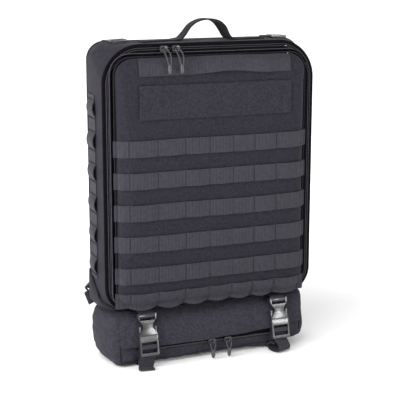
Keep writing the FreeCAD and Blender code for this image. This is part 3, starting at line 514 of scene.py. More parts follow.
def puff(piece, voxel, cap, keep, crown=None):
    # remeshes a slab, inflates it as cloth, and holds every point inside what keep allows
    remesh = piece.modifiers.new("remesh", "REMESH")
    remesh.mode = "VOXEL"
    remesh.voxel_size = voxel
    applyAll(piece)
    if crown:
        for vertex in piece.data.vertices:
            vertex.co = crown(vertex.co)
    before = [vertex.co.copy() for vertex in piece.data.vertices]
    cloth = piece.modifiers.new("cloth", "CLOTH")
    settings = cloth.settings
    settings.quality = clothSim["quality"]
    settings.mass = clothSim["mass"]
    settings.tension_stiffness = settings.compression_stiffness = clothSim["stiffness"]
    settings.bending_stiffness = clothSim["bending"]
    settings.use_pressure = True
    settings.uniform_pressure_force = clothSim["pressure"]
    settings.effector_weights.gravity = 0
    cloth.collision_settings.use_collision = False
    cloth.point_cache.frame_end = clothSim["frames"]
    for step in range(1, clothSim["frames"] + 1):
        bpy.context.scene.frame_set(step)
    applyAll(piece)
    bpy.context.scene.frame_set(1)
    for vertex, start in zip(piece.data.vertices, before):
        move = vertex.co - start
        if move.length > cap:
            move *= cap / move.length
        vertex.co = keep(start + move)
    finer = piece.modifiers.new("finer", "SUBSURF")
    finer.levels = finer.render_levels = 1
    applyAll(piece)
    return piece


def surfaceOf(piece, direction=Vector((0, 1, 0)), away=0.3):
    # the first spot on a piece that a straight look meets
    shape = bmesh.new()
    shape.from_mesh(piece.data)
    tree = BVHTree.FromBMesh(shape)
    shape.free()

    def meet(spot):
        return tree.ray_cast(Vector(spot) - direction * away, direction)[0]

    meet.direction = direction
    return meet


def track(points):
    # a smooth run through points, as a function of s from 0 to 1
    spots = [Vector(p) for p in points]
    runs = [(b - a).length for a, b in zip(spots, spots[1:])]
    whole = sum(runs)

    def at(s):
        left = min(max(s, 0.0), 1.0) * whole
        i = 0
        while i < len(runs) - 1 and left > runs[i]:
            left -= runs[i]
            i += 1
        u = min(left / runs[i], 1.0)
        a, b = spots[i], spots[i + 1]
        before = spots[i - 1] if i else a * 2 - b
        after = spots[i + 2] if i + 2 < len(spots) else b * 2 - a
        return 0.5 * ((a * 2) + (b - before) * u + (before * 2 - a * 5 + b * 4 - after) * u * u
                      + (a * 3 - before - b * 3 + after) * u ** 3)

    at.length = whole
    return at


def strip(name, points, width, side, thick, twist=None, steps=None, across=5, pinch=None):
    # webbing that follows a route, its width along side; twist(s) adds a second direction to the width,
    # and pinch(s) narrows it
    at = track(points)
    steps = steps or max(12, int(at.length / (2.5 * mm)))
    side = Vector(side)

    def place(s, t):
        wide = side if twist is None else (side + twist(s)).normalized()
        share = pinch(s) if pinch else 1.0
        return at(s) + wide * ((t - 0.5) * width * share)
    return grid(name, steps, across, place, thickness=thick, flat=(at.length, width))


def ring(name, at, middle, profile, steps=240, across=8, cut=None, thickness=0.0):
    # a profile carried round an outline: profile(s, t) gives the inset and the depth
    def place(s, t):
        if cut:
            s = cut[0] + s * (cut[1] - cut[0])
        x, z, nx, nz = at(s)
        inset, y = profile(s, t)
        return Vector((x - nx * inset, y, z + middle - nz * inset))
    return grid(name, steps, across, place, thickness=thickness, flat=(at.length, 0.01))


def bead(name, at, middle, inset, y, radius):
    # piping: a round bead along an outline
    def profile(s, t):
        return inset + radius * math.cos(2 * math.pi * t), y + radius * math.sin(2 * math.pi * t)
    return ring(name, at, middle, profile)


def scatter(name, base, places):
    # one mesh from many copies of a small one
    spots, faces = [], []
    for place in places:
        start = len(spots)
        spots.extend(place @ vertex.co for vertex in base.data.vertices)
        faces.extend([start + i for i in face.vertices] for face in base.data.polygons)
    shape = bpy.data.meshes.new(name)
    shape.from_pydata(spots, [], faces)
    piece = bpy.data.objects.new(name, shape)
    bpy.context.scene.collection.objects.link(piece)
    return piece


thread = {"pitch": 3.4 * mm, "size": (2.3 * mm, 0.55 * mm, 0.45 * mm), "lift": 0.1 * mm, "taper": 0.45}


def stitches(name, runs, surface, pitch=thread["pitch"], size=thread["size"]):
    # thread along straight runs between points, each stitch laid on a surface
    pickNothing()
    bpy.ops.mesh.primitive_cube_add(size=1)
    base = bpy.context.object
    base.scale = size
    bpy.ops.object.transform_apply(location=False, rotation=False, scale=True)
    inEdit(base, "FACE", lambda f: abs(f.normal.x) > 0.9)
    bpy.ops.transform.resize(value=(1, thread["taper"], thread["taper"]))
    closeEdit()
    places = []
    for start, end in runs:
        start, end = Vector(start), Vector(end)
        count = max(1, int((end - start).length / pitch))
        for i in range(count):
            spot = start.lerp(end, (i + 0.5) / count)
            hit = surface(spot)
            if hit is None:
                continue
            along = (end - start).normalized()
            turn = along.to_track_quat("X", "Z").to_matrix().to_4x4()
            places.append(Matrix.Translation(hit - surface.direction * thread["lift"]) @ turn)
    piece = scatter(name, base, places)
    bpy.data.objects.remove(base)
    return piece


hardEdges = {"flat": math.radians(2), "sharp": math.radians(38)}


def refine(node, name, bevel, segments=2):
    # a merged copy of a hard part with its edges broken
    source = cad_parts[node]
    piece = source.copy()
    piece.data = source.data.copy()
    piece.parent = None
    bpy.context.scene.collection.objects.link(piece)
    for key in list(piece.keys()):
        del piece[key]
    piece.name = name
    tidyMesh(piece)
    inEdit(piece, "VERT", lambda v: True)
    bpy.ops.mesh.dissolve_limited(angle_limit=hardEdges["flat"])
    closeEdit()
    edges = piece.modifiers.new("edges", "BEVEL")
    edges.width = bevel
    edges.segments = segments
    edges.limit_method = "ANGLE"
    edges.angle_limit = hardEdges["sharp"]
    applyAll(piece)
    return piece


# cords first: each pull is a folded cord in a moulded end; routes in mm, with x from the slider's middle
pulls = {"thick": 2.6 * mm, "endRadius": 3.4 * mm, "endLength": 15 * mm, "grooves": 4, "grooveDepth": 0.09,
         "endFlat": 0.86,
         "lid": {"left": -80, "right": -60, "length": 0.0771,
                 "route": [(-1.9, -77.7, 480), (-4, -76.7, 493), (-4, -54.8, 503.3), (4, -54.8, 503.3),
                           (4, -76.7, 493), (1.9, -77.7, 480)]},
         "pouch": {"left": -4, "right": 24, "length": 0.0317,
                   "route": [(-1.9, -68.8, 16), (-4, -68.4, 21.5), (-4, -66.8, 29), (4, -66.8, 29),
                             (4, -68.4, 21.5), (1.9, -68.8, 16)]}}


def makePullEnd(name, top, centre):
    def place(s, t):
        swell = math.sin(math.pi * min(max(t, 0.0), 1.0)) ** 0.32
        groove = 1 - pulls["grooveDepth"] * (0.5 + 0.5 * math.cos(2 * math.pi * pulls["grooves"] * t))
        angle = 2 * math.pi * s
        reach = pulls["endRadius"] * swell * groove
        x, y = reach * math.cos(angle), pulls["endFlat"] * reach * math.sin(angle)
        return Vector((centre.x + x, centre.y + y, top - pulls["endLength"] * t))
    return grid(name, 20, 36, place)


def makePull(kind, side):
    name, body, endNode = f"{kind}Pull_{side}", f"{kind}_pull_{side}", f"{kind}_pull_end_{side}"
    x = pulls[kind][side]
    points = [Vector((x + px, y, z)) * mm for px, y, z in pulls[kind]["route"]]
    line = bpy.data.curves.new(name, "CURVE")
    line.dimensions = "3D"
    spline = line.splines.new("NURBS")
    spline.points.add(len(points) - 1)
    for point, spot in zip(spline.points, points):
        point.co = (*spot, 1)
    spline.order_u = 3
    spline.use_endpoint_u = True
    line.bevel_depth = pulls["thick"] / 2
    line.bevel_resolution = 3
    line.resolution_u = 16
    line.use_fill_caps = True
    piece = bpy.data.objects.new(name, line)
    bpy.context.scene.collection.objects.link(piece)
    line.materials.append(matCord)
    low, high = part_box(endNode)
    end = makePullEnd(name + "End", high.z, (low + high) / 2)
    settle(end, matEnd, body, [endNode], angle=60)
    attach(piece, body)
    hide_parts(f"{kind}_pull_cord_{side}")


for side, sign in sides:
    makePull("lid", side)
    makePull("pouch", side)
print("cords made")


# main compartment: gusset with its wrinkles, bound front edge and piping
gusset = {"wall": 3.2 * mm, "bulge": 1.4 * mm, "wrinkle": 2.2 * mm, "crease": 0.6 * mm, "bound": 3 * mm,
          "front": 0.8 * mm, "pastRear": 3.4 * mm, "skin": 0.3 * mm, "lap": 1.4 * mm, "lapReach": 6.4 * mm,
          "beadInset": 0.8 * mm, "beadOut": 0.6 * mm, "beadRadius": 2.1 * mm}
bodyEdge = bodyOutline(0)
rearEdge = bodyOutline(0, 1.0, bodyEdge)
edges = {}


def gussetSpot(s, t):
    key = round(t, 3)
    if key not in edges:
        edges[key] = bodyOutline(0, t, bodyEdge)
    x, z, nx, nz = edges[key](s)
    y = zipPlane + gusset["front"] + t * (gussetHigh.y - zipPlane + gusset["pastRear"] - gusset["front"])
    soft = math.sin(math.pi * min(max(t, 0.02), 0.98)) ** 0.6
    out = gusset["bulge"] + gusset["wrinkle"] * wander(x, y * 0.6, z, 17)
    out += gusset["crease"] * wander(x, y, z, 70)
    out = out * soft * (0.0 if nz < -0.4 else 1.0) - gusset["skin"]
    return Vector((x + nx * out, y, z + bodyMiddle + nz * out))


gussetPiece = grid("sideGusset", 300, 26, gussetSpot, thickness=gusset["wall"], flat=(bodyEdge.length, 0.078),
                   offset=-1)
settle(gussetPiece, matShell, replaces=["side_gusset"])
sideSurface = {sign: surfaceOf(gussetPiece, Vector((-sign, 0, 0))) for side, sign in sides}
topSurface = surfaceOf(gussetPiece, Vector((0, 0, -1)))


def boundEdge(s, t):
    # wraps the gusset's front edge and turns inwards as the body's half of the zipper tape
    if t < 0.4:
        u = t / 0.4
        y = zipPlane + gusset["bound"] * (1 - u) - gusset["lap"] * u
        return -0.7 * mm * math.sin(math.pi * u * 0.9), y
    u = (t - 0.4) / 0.6
    return 0.2 * mm + gusset["lapReach"] * u, zipPlane - gusset["lap"] + 0.5 * mm * math.sin(math.pi * u)


def startAbove(at, height):
    # the share of an outline at which its right side first passes a height
    return next(i / 2000 for i in range(100, 2000) if at(i / 2000)[1] + bodyMiddle > height)


zipper = {"pitch": 2.6 * mm, "radius": 1.15 * mm, "coilFoot": 112 * mm, "tapeFoot": 106 * mm,
          "tape": 0.9 * mm, "y": zipPlane - 2.2 * mm, "bodyInset": 5.2 * mm, "lidInset": 8.1 * mm,
          "tapeInset": 7.2 * mm, "tapeWide": 8 * mm}
bodyTape = ring("bodyZipperTape", bodyEdge, bodyMiddle, boundEdge, steps=300, across=14,
                thickness=zipper["tape"])
settle(bodyTape, matTape, replaces=["body_zipper"])


def coilRing(name, inset):
    # half of the zipper coil, from one lower end round the top to the other
    at = bodyOutline(inset)
    begin = startAbove(at, zipper["coilFoot"])
    turns = int(at.length * (1 - 2 * begin) / zipper["pitch"])

    def profile(s, t):
        swell = 0.72 + 0.28 * math.cos(2 * math.pi * turns * (s - begin) / (1 - 2 * begin))
        angle = 2 * math.pi * t
        radius = zipper["radius"] * swell
        return radius * math.cos(angle), zipper["y"] + radius * math.sin(angle)
    return ring(name, at, bodyMiddle, profile, steps=turns * 4, across=6, cut=(begin, 1 - begin))


settle(coilRing("bodyZipperCoil", zipper["bodyInset"]), matTeeth, angle=70)
settle(coilRing("lidZipperCoil", zipper["lidInset"]), matTeeth, "lid", angle=70)


def lidTapeSpot(s, t):
    return zipper["tapeInset"] + zipper["tapeWide"] * t, zipPlane - 1 * mm - 0.5 * mm * math.sin(math.pi * t)


tapeBegin = startAbove(bodyEdge, zipper["tapeFoot"])
lidTape = ring("lidZipperTape", bodyEdge, bodyMiddle, lidTapeSpot, steps=300, across=6,
               cut=(tapeBegin, 1 - tapeBegin), thickness=zipper["tape"])
settle(lidTape, matTape, "lid", ["lid_zipper"])
rearBead = bead("rearBinding", rearEdge, bodyMiddle, gusset["beadInset"], gussetHigh.y + gusset["beadOut"],
                gusset["beadRadius"])
settle(rearBead, matBinding)
print("gusset and zipper made")


# padded lid, crowned and pulled in at its seams
lid = {"crown": 4.5 * mm, "cap": 5 * mm, "top": 30 * mm, "foot": 24 * mm, "dents": 1.4 * mm,
       "shift": -3.2 * mm, "trim": 1.5 * mm, "front": 2.5 * mm, "rear": 1.0 * mm, "voxel": 4.6 * mm,
       "fill": 0.55, "seamInset": 3.6 * mm, "seamRadius": 1.1 * mm, "seamSink": 0.5 * mm}
panelMiddle = (panelLow.z + panelHigh.z) / 2
lidHalf = (lidWidth / 2, (panelHigh.z - panelLow.z) / 2)


def crowned(co):
    # pushes the front outwards towards the middle
    u, v = co.x / lidHalf[0], (co.z - panelMiddle) / lidHalf[1]
    share = max(0.0, (1 - abs(u) ** 5)) * max(0.0, (1 - abs(v) ** 5))
    depth = (panelHigh.y - co.y) / (panelHigh.y - panelLow.y)
    out = lid["crown"] * share + lid["dents"] * wander(co.x, 0, co.z, 18)
    return Vector((co.x, co.y - out * depth, co.z))


def keepLid(co):
    return Vector((min(max(co.x, panelLow.x + lid["shift"] - 1.6 * mm), panelHigh.x + 0.5 * mm),
                   min(co.y, panelHigh.y - 0.4 * mm),
                   min(max(co.z, panelLow.z + 0.5 * mm), panelHigh.z + 1.2 * mm)))


slabLow = panelLow + Vector((lid["trim"] + lid["shift"], lid["front"], lid["trim"]))
slabHigh = panelHigh - Vector((lid["trim"] - lid["shift"] * 0.5, lid["rear"], lid["trim"]))
lidPiece = slab("lidPanel", slabLow, slabHigh, lid["top"], lid["foot"])
puff(lidPiece, lid["voxel"], lid["cap"], keepLid, crown=crowned)
settle(lidPiece, matShell, "lid", replaces=["lid_panel"], angle=60)
lidFront = surfaceOf(lidPiece)
lidEdge = outlineAt(lidWidth - lid["shift"] * 0.5, lidHalf[1] * 2, lid["top"], lid["foot"])
edgeShift = lid["shift"] * 0.75


def onLid(x, z, out=0.0):
    # a spot on the lid's front, held near its face where the look misses
    hit = lidFront((x, 0, z))
    deepest = panelLow.y + 8 * mm
    y = hit.y if hit and hit.y < deepest else deepest
    return Vector((x, y - out, z))


def seamBead(name, inset, radius, sink):
    # a bead that lies on the lid's crowned front: the seam there, in the dark binding colour as painted
    # shadow along it
    def place(s, t):
        x, z, nx, nz = lidEdge(s)
        x, z = x - nx * inset + edgeShift, z - nz * inset + panelMiddle
        spot = onLid(x, z, -sink)
        angle = 2 * math.pi * t
        return spot + Vector((nx * math.cos(angle), math.sin(angle), nz * math.cos(angle))) * radius
    return grid(name, 260, 8, place, flat=(lidEdge.length, 0.01))


seamPiece = seamBead("lidFrontSeam", lid["seamInset"], lid["seamRadius"], lid["seamSink"])
settle(seamPiece, matBinding, "lid")


lidWall = {"bandInset": -0.2 * mm, "bandFront": 7.5 * mm, "bandRear": 2.0 * mm, "bandThick": 0.9 * mm,
           "pipingInset": -0.9 * mm, "pipingFront": 4.2 * mm, "pipingRadius": 1.0 * mm}


def bandProfile(s, t):
    rear = zipPlane - lidWall["bandRear"]
    return lidWall["bandInset"], rear + (zipPlane - lidWall["bandFront"] - rear) * t


def pipingProfile(s, t):
    angle = 2 * math.pi * t
    x, y = lidWall["pipingRadius"] * math.cos(angle), lidWall["pipingRadius"] * math.sin(angle)
    return lidWall["pipingInset"] + x, zipPlane - lidWall["pipingFront"] + y


def aroundLid(name, profile, thick, material):
    # a band or a bead round the lid's side wall
    piece = ring(name, lidEdge, panelMiddle, profile, steps=260, thickness=thick)
    for vertex in piece.data.vertices:
        vertex.co.x += edgeShift
    settle(piece, material, "lid")


aroundLid("lidSideBand", bandProfile, lidWall["bandThick"], matTape)
aroundLid("lidPiping", pipingProfile, 0.0, matPiping)
hinge = {"width": 246 * mm, "y": zipPlane - 0.5 * mm, "z": 94.2 * mm, "out": 3.6 * mm, "rise": 6.4 * mm,
         "thick": 1.2 * mm}


def hingeSpot(s, t):
    u = math.pi / 2 * t
    return Vector(((s - 0.5) * hinge["width"], hinge["y"] - hinge["out"] * math.sin(u),
                   hinge["z"] + hinge["rise"] * (1 - math.cos(u))))


hingePiece = grid("lidHingeFabric", 80, 8, hingeSpot, thickness=hinge["thick"], flat=(hinge["width"], 0.01))
settleBlend(hingePiece, matShell, ["lid_hinge_strip"])
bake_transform(hingePiece)
print("lid made")


# load webbing on the lid, sewn at intervals so that it stands off between its stitches
rows = {"tops": (367, 317, 267, 217, 167, 126), "tall": 25 * mm, "thick": 1.5 * mm,
        "stitched": (-165.5, -144, -98, -53, -12, 27, 64, 102, 148, 159.5), "puff": 2.3 * mm, "sag": 4.6 * mm,
        "curl": 1.2 * mm, "flare": 4.2 * mm, "ripple": 0.8 * mm, "foot": 2 * mm}
joints = [x * mm for x in rows["stitched"]]
rowWidth = joints[-1] - joints[0]


def between(x):
    # which stretch between stitch lines, and how far along it from 0 to 1
    for i, (a, b) in enumerate(zip(joints, joints[1:])):
        if x <= b + 1e-9:
            return i, min(max((x - a) / (b - a), 0.0), 1.0)
    return len(joints) - 2, 1.0


def makeRow(index, top):
    # the lowest row hangs free between its stitches and curls outwards
    last = index == len(rows["tops"]) - 1
    lowest = panelLow.z + rows["foot"]

    def place(s, t):
        x = joints[0] + rowWidth * s
        stretch, u = between(x)
        bow = 4 * u * (1 - u)
        gain = 0.55 + 0.9 * abs(wander(stretch * 3.1, index * 2.7, 0, 0.61))
        narrow = 1.0 if 0 < stretch < len(joints) - 2 else 0.3
        out = rows["puff"] * bow ** 0.5 * gain * narrow
        z = top * mm - rows["tall"] * t - rows["ripple"] * wander(x, index, 0, 9)
        if last and narrow == 1.0:
            out = bow ** 0.7 * (rows["curl"] + rows["flare"] * t * (0.5 + gain))
            z -= rows["sag"] * bow * (0.4 + 0.9 * t) * gain
        else:
            z -= 0.5 * mm * bow * t
        edge = 0.25 * mm * (2 * t - 1) ** 4
        return onLid(x, max(z, lowest), 1.1 * mm + out - edge) + Vector((0, 0, min(0.0, z - lowest)))
    return grid(f"lidRow_{index + 1}", 170, 8, place, thickness=rows["thick"], flat=(rowWidth, rows["tall"]))


rowPieces = [makeRow(i, top) for i, top in enumerate(rows["tops"])]
for i, piece in enumerate(rowPieces):
    settle(piece, matWebbing, "lid", ["lid_webbing_rows"] if i == 0 else [])


tack = {"wide": 1.2 * mm, "sway": 0.25 * mm, "wave": 0.3 * mm, "turns": 11, "lift": 2.0 * mm,
        "thick": 0.5 * mm, "short": 1.2 * mm}


def bartack(x, top):
    # a dense zigzag bar of thread
    def place(s, t):
        turn = math.cos(2 * math.pi * tack["turns"] * s)
        z = top - tack["short"] - (rows["tall"] - 2 * tack["short"]) * s
        aside = (t - 0.5) * tack["wide"] + tack["sway"] * turn
        return onLid(x + aside, z, tack["lift"] + tack["wave"] * turn)
    return grid("tack", 44, 3, place, thickness=tack["thick"])


tacks = [bartack(x, top * mm) for top in rows["tops"] for x in joints[1:-1]]
settle(join(tacks, "lidBartacks"), matTackShaded, "lid", angle=60)
print("webbing rows made")


# identification panel: loop pile with a stitched border
patch = {"thick": 1.5 * mm, "pile": 1.1 * mm, "rim": 4 * mm, "dents": 0.25 * mm, "seam": 2.6 * mm,
         "flat": (0.254, 0.052)}
idLow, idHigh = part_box("identification_panel")


def idSpot(s, t):
    x, z = idLow.x + (idHigh.x - idLow.x) * s, idHigh.z - (idHigh.z - idLow.z) * t
    rim = min(s, 1 - s) * (idHigh.x - idLow.x), min(t, 1 - t) * (idHigh.z - idLow.z)
    lift = patch["pile"] * min(1.0, min(rim) / patch["rim"])
    return onLid(x, z, patch["thick"] + lift + patch["dents"] * wander(x, 0, z, 45))


def around(spots):
    # the runs of a closed line of stitches
    return list(zip(spots, spots[1:] + spots[:1]))


idPanel = grid("identificationPanel", 110, 26, idSpot, thickness=patch["thick"], flat=patch["flat"])
settle(idPanel, matPatch, "lid", ["identification_panel"])
seamLow, seamHigh = idLow + Vector((1, 1, 1)) * patch["seam"], idHigh - Vector((1, 1, 1)) * patch["seam"]
idCorners = [(seamLow.x, 0, seamHigh.z), (seamHigh.x, 0, seamHigh.z), (seamHigh.x, 0, seamLow.z),
             (seamLow.x, 0, seamLow.z)]
settle(stitches("identificationStitches", around(idCorners), surfaceOf(idPanel)), matThread, "lid")


# lid handle: flat under the pulls, then bowed out for the fingers, then box-stitched at both ends
grab = {"low": 464 * mm, "high": 490 * mm, "half": 126 * mm, "lift": 3.2 * mm, "arch": 4.5 * mm,
        "thick": 1.8 * mm, "bowFrom": (-25 * mm, -4 * mm), "bowTo": (84 * mm, 103 * mm),
        "middle": 20 * mm, "spread": 40 * mm,
        "boxes": ((-123, -104), (104, 123)), "boxTop": 487, "boxFoot": 467, "bars": (-46, -48),
        "pitch": 2.6 * mm, "stitch": (1.7 * mm, 0.6 * mm, 0.5 * mm)}


def ramp(x, a, b):
    u = min(max((x - a) / (b - a), 0.0), 1.0)
    return u * u * (3 - 2 * u)


def grabSpot(s, t):
    x = -grab["half"] + 2 * grab["half"] * s
    up = ramp(x, *grab["bowFrom"]) * (1 - ramp(x, *grab["bowTo"]))
    arch = math.exp(-((x - grab["middle"]) / grab["spread"]) ** 2)
    z = grab["high"] - (grab["high"] - grab["low"]) * t + grab["arch"] * arch * (0.25 + 0.75 * t)
    ripple = 0.7 * mm * up * math.sin(x * 95) + 0.3 * mm * wander(x, 0, z, 60)
    return onLid(x, z, 1.0 * mm + up * (grab["lift"] + 0.8 * mm * (1 - t)) + ripple)


handlePiece = grid("lidHandle", 130, 8, grabSpot, thickness=grab["thick"], flat=(0.252, 0.026))
settle(handlePiece, matWebbing, "lid", ["lid_handle"])
high, low = grab["boxTop"] * mm, grab["boxFoot"] * mm
runs = []
for left, right in grab["boxes"]:
    box = [(left * mm, 0, high), (right * mm, 0, high), (right * mm, 0, low), (left * mm, 0, low)]
    runs += around(box) + [(box[0], box[2]), (box[1], box[3])]
runs += [((x * mm, 0, high), (x * mm, 0, low)) for x in grab["bars"]]
handleThread = stitches("lidHandleStitches", runs, surfaceOf(handlePiece), grab["pitch"], grab["stitch"])
settle(handleThread, matThread, "lid")
print("identification panel and lid handle made")


# webbing down each side, standing off in a loop between its stitches
sideLow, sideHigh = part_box("side_webbing_left")
sideRows = {"top": sideHigh.z, "pitch": 50 * mm, "count": 6, "tall": 25 * mm, "out": 5.2 * mm,
            "lift": 0.9 * mm, "past": 9 * mm, "tuck": 1.8 * mm, "thick": 1.5 * mm, "tackGap": 2.2 * mm,
            "tackTurns": 14, "tackLift": 1.9 * mm, "tackWide": 1.5 * mm}
wingFacts = {"top": 146 * mm, "foot": 95.5 * mm, "reach": 74 * mm, "lift": 1.5 * mm, "puff": 2.6 * mm,
             "flare": 2.2 * mm, "thick": 2.2 * mm, "binding": 5 * mm, "bindingThick": 2.6 * mm}


def onSide(sign, y, z, out, fallback=gussetHigh.x):
    # a spot off the gusset's side wall
    hit = sideSurface[sign]((0, y, z))
    return sign * ((sign * hit.x if hit else fallback) + out)


def makeSideWebbing(side, sign):
    start, end = sideRows["top"] + sideRows["past"], sideLow.z - sideRows["past"]
    stitched = (sideRows["count"] - 1) * sideRows["pitch"] + sideRows["tall"]

    def place(s, t):
        z = start + (end - start) * s
        y = sideLow.y + (sideHigh.y - sideLow.y) * t
        u = ((sideRows["top"] - z) % sideRows["pitch"]) / sideRows["tall"]
        within = 0 <= sideRows["top"] - z <= stitched
        bow = math.sin(math.pi * u) ** 0.8 if within and 0 < u < 1 else 0.0
        out = sideRows["lift"] + sideRows["out"] * bow * (1.0 - 0.45 * t)
        tuck = sideRows["tuck"] * (1 - bow) * (1 - 2 * t)
        return Vector((onSide(sign, y, z, out), y + 0.6 * tuck, z - 1.2 * mm * bow * t))
    return grid(f"sideWebbing_{side}", 170, 10, place, thickness=sideRows["thick"], flat=(start - end, 0.04))


def sideTack(sign, z):
    def place(s, t):
        y = sideLow.y + 1.5 * mm + (sideHigh.y - sideLow.y - 3 * mm) * s
        out = sideRows["tackLift"] + tack["wave"] * math.cos(2 * math.pi * sideRows["tackTurns"] * s)
        return Vector((onSide(sign, y, z, out), y, z + (t - 0.5) * sideRows["tackWide"]))
    return grid("tack", 56, 3, place, thickness=tack["thick"])


def makeWing(side, sign):
    # sewn wing that carries the lower anchor strap
    def wing(s, t):
        z = wingFacts["foot"] + (wingFacts["top"] - wingFacts["foot"]) * (1 - t)
        y = gussetHigh.y - 1 * mm - wingFacts["reach"] * t * (1 - s)
        swell = math.sin(math.pi * s) ** 0.7 * math.sin(math.pi * min(t + 0.05, 1.0)) ** 0.7
        out = wingFacts["lift"] + wingFacts["puff"] * swell + wingFacts["flare"] * s * t
        return Vector((onSide(sign, y, max(z, 100 * mm), out, gussetHigh.x - 2 * mm), y, z))
    piece = grid(f"anchorWing_{side}", 18, 30, wing, thickness=wingFacts["thick"], flat=(0.09, 0.06))
    settle(piece, matShell)
    edge = [wing(0.0, t) for t in (0.02, 0.25, 0.5, 0.75, 0.98)]
    binding = strip(f"anchorWingBinding_{side}", edge, wingFacts["binding"], (0, 0.9, 0.4),
                    wingFacts["bindingThick"], across=4)
    settle(binding, matBinding)


for side, sign in sides:
    settle(makeSideWebbing(side, sign), matWebbing, replaces=[f"side_webbing_{side}"])
    tacks = []
    for i in range(sideRows["count"]):
        top = sideRows["top"] - i * sideRows["pitch"]
        tacks.append(sideTack(sign, top + sideRows["tackGap"]))
        tacks.append(sideTack(sign, top - sideRows["tall"] - sideRows["tackGap"]))
    settle(join(tacks, f"sideBartacks_{side}"), matTackShaded, angle=60)
    makeWing(side, sign)
print("side webbing made")


# carry handle: one strap over the top, sewn down at both ends
handleLow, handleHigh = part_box("carry_handle")
carryMiddle = (handleLow.y + handleHigh.y) / 2
carry = {"wide": 24.5 * mm, "thick": 2.6 * mm, "lift": 1.1 * mm, "pinch": 0.34,
         "leftFoot": (-103, -90, -76, -62, -52), "rightFoot": (53, 63, 76, 90, 103),
         "arch": ((-44, 513.6), (-38, 515), (-30, 523), (-20, 535), (-5, 542.6), (12, 543.6), (25, 539),
                  (35, 529), (41, 518.5), (46, 513.8)),
         "boxes": ((-100, -62), (62, 100)), "boxHalf": 9 * mm, "boxLevel": 0.52, "bendFrom": 0.5125,
         "bendTo": 0.524}


def onTop(x, y, out):
    hit = topSurface((x, y, 0.5))
    return Vector((x, y, (hit.z if hit else bodyTop) + out))


carryPoints = [onTop(x * mm, carryMiddle, carry["lift"]) for x in carry["leftFoot"]]
carryPoints += [Vector((x * mm, carryMiddle, z * mm)) for x, z in carry["arch"]]
carryPoints += [onTop(x * mm, carryMiddle, carry["lift"]) for x in carry["rightFoot"]]


def hump(s, middle, spread, power=2):
    return math.exp(-((s - middle) / spread) ** power)


def carryTwist(s):
    return Vector((-0.22, 0, -0.42)) * hump(s, 0.66, 0.07) + Vector((0.06, 0, 0.16)) * hump(s, 0.36, 0.06)


def carryPinch(s):
    return 1 - carry["pinch"] * hump(s, 0.5, 0.2, 4)


carryPiece = strip("carryHandle", carryPoints, carry["wide"], (0, 1, 0), carry["thick"], twist=carryTwist,
                   steps=150, across=8, pinch=carryPinch)
settleBlend(carryPiece, matGrip, ["carry_handle", "carry_handle_feet"])
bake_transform(carryPiece)
runs = []
near, far = carryMiddle - carry["boxHalf"], carryMiddle + carry["boxHalf"]
for left, right in carry["boxes"]:
    box = [Vector((x * mm, y, carry["boxLevel"]))
           for x, y in ((left, near), (right, near), (right, far), (left, far))]
    runs += around(box) + [(box[0], box[2]), (box[1], box[3])]
carryThread = stitches("carryHandleStitches", runs, surfaceOf(carryPiece, Vector((0, 0, -1))))
settle(carryThread, matThread)


# load lifters: a strip and a ladder lock on each upper corner
lockEdge = 0.8 * mm
lifters = {"inward": 3 * mm, "width": 22 * mm, "lean": math.radians(17), "rise": 3.4 * mm,
           "size": (0.8, 0.8, 0.6), "bow": 1.6 * mm, "thick": 1.5 * mm, "front": 18 * mm, "past": 2 * mm}
for side, sign in sides:
    lockLow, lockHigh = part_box(f"load_lifter_lock_{side}")
    centre = (lockLow + lockHigh) / 2
    middle = centre.x - sign * lifters["inward"]

    def lifter(s, t):
        y = centre.y - lifters["front"] + (rearFace - centre.y + lifters["front"] + lifters["past"]) * s
        x = middle + (t - 0.5) * lifters["width"]
        bow = lifters["bow"] * hump(y, centre.y, 8 * mm)
        rim = gussetHigh.y - 2 * mm
        return onTop(x, min(y, rim), 1.0 * mm + bow) + Vector((0, max(0.0, y - rim), 0))
    lifterPiece = grid(f"loadLifterWebbing_{side}", 40, 6, lifter, thickness=lifters["thick"],
                       flat=(0.066, 0.025))
    settle(lifterPiece, matWebbing, replaces=["load_lifter_webbing"])
    lock = refine(f"load_lifter_lock_{side}", f"loadLifterLock_{side}", lockEdge, 3)
    lean = Matrix.Rotation(-sign * lifters["lean"], 4, "Y")
    bed = onTop(middle, centre.y, lifters["rise"])
    for vertex in lock.data.vertices:
        spot = lean @ (vertex.co - centre)
        vertex.co = bed + Vector(c * share for c, share in zip(spot, lifters["size"]))
    settle(lock, matBuckle, replaces=[f"load_lifter_lock_{side}"], angle=35)
print("handle and lifters made")


# padded back: panel, pads, lumbar pad and shoulder straps
pads = {"trim": 1.5 * mm, "front": 0.2 * mm, "rear": 1.0 * mm, "cap": 3 * mm, "swell": 2.0 * mm,
        "corner": 20 * mm, "voxel": 4 * mm, "fill": 0.5, "edgeOut": 2.5 * mm, "edgeThick": 1.8 * mm}


def makePad(name, node, top=pads["corner"], foot=pads["corner"], voxel=pads["voxel"], swell=pads["swell"]):
    # keeps the swollen pad within its box, a little proud at the rear
    low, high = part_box(node)

    def keep(co):
        return Vector((min(max(co.x, low.x), high.x), min(max(co.y, low.y + pads["front"]), high.y + swell),
                       min(max(co.z, low.z), high.z)))
    piece = slab(name, low + Vector((pads["trim"], pads["front"], pads["trim"])),
                 high - Vector((pads["trim"], pads["rear"], pads["trim"])), top, foot)
    puff(piece, voxel, pads["cap"], keep)
    settle(piece, matMesh, replaces=[node], angle=60)


makePad("backPanel", "back_panel", 26 * mm, 12 * mm, 5 * mm, 0.6 * mm)
for side, sign in sides:
    makePad(f"backPad_{side}", f"back_pad_{side}")
makePad("lumbarPad", "lumbar_pad")
print("back pads made")


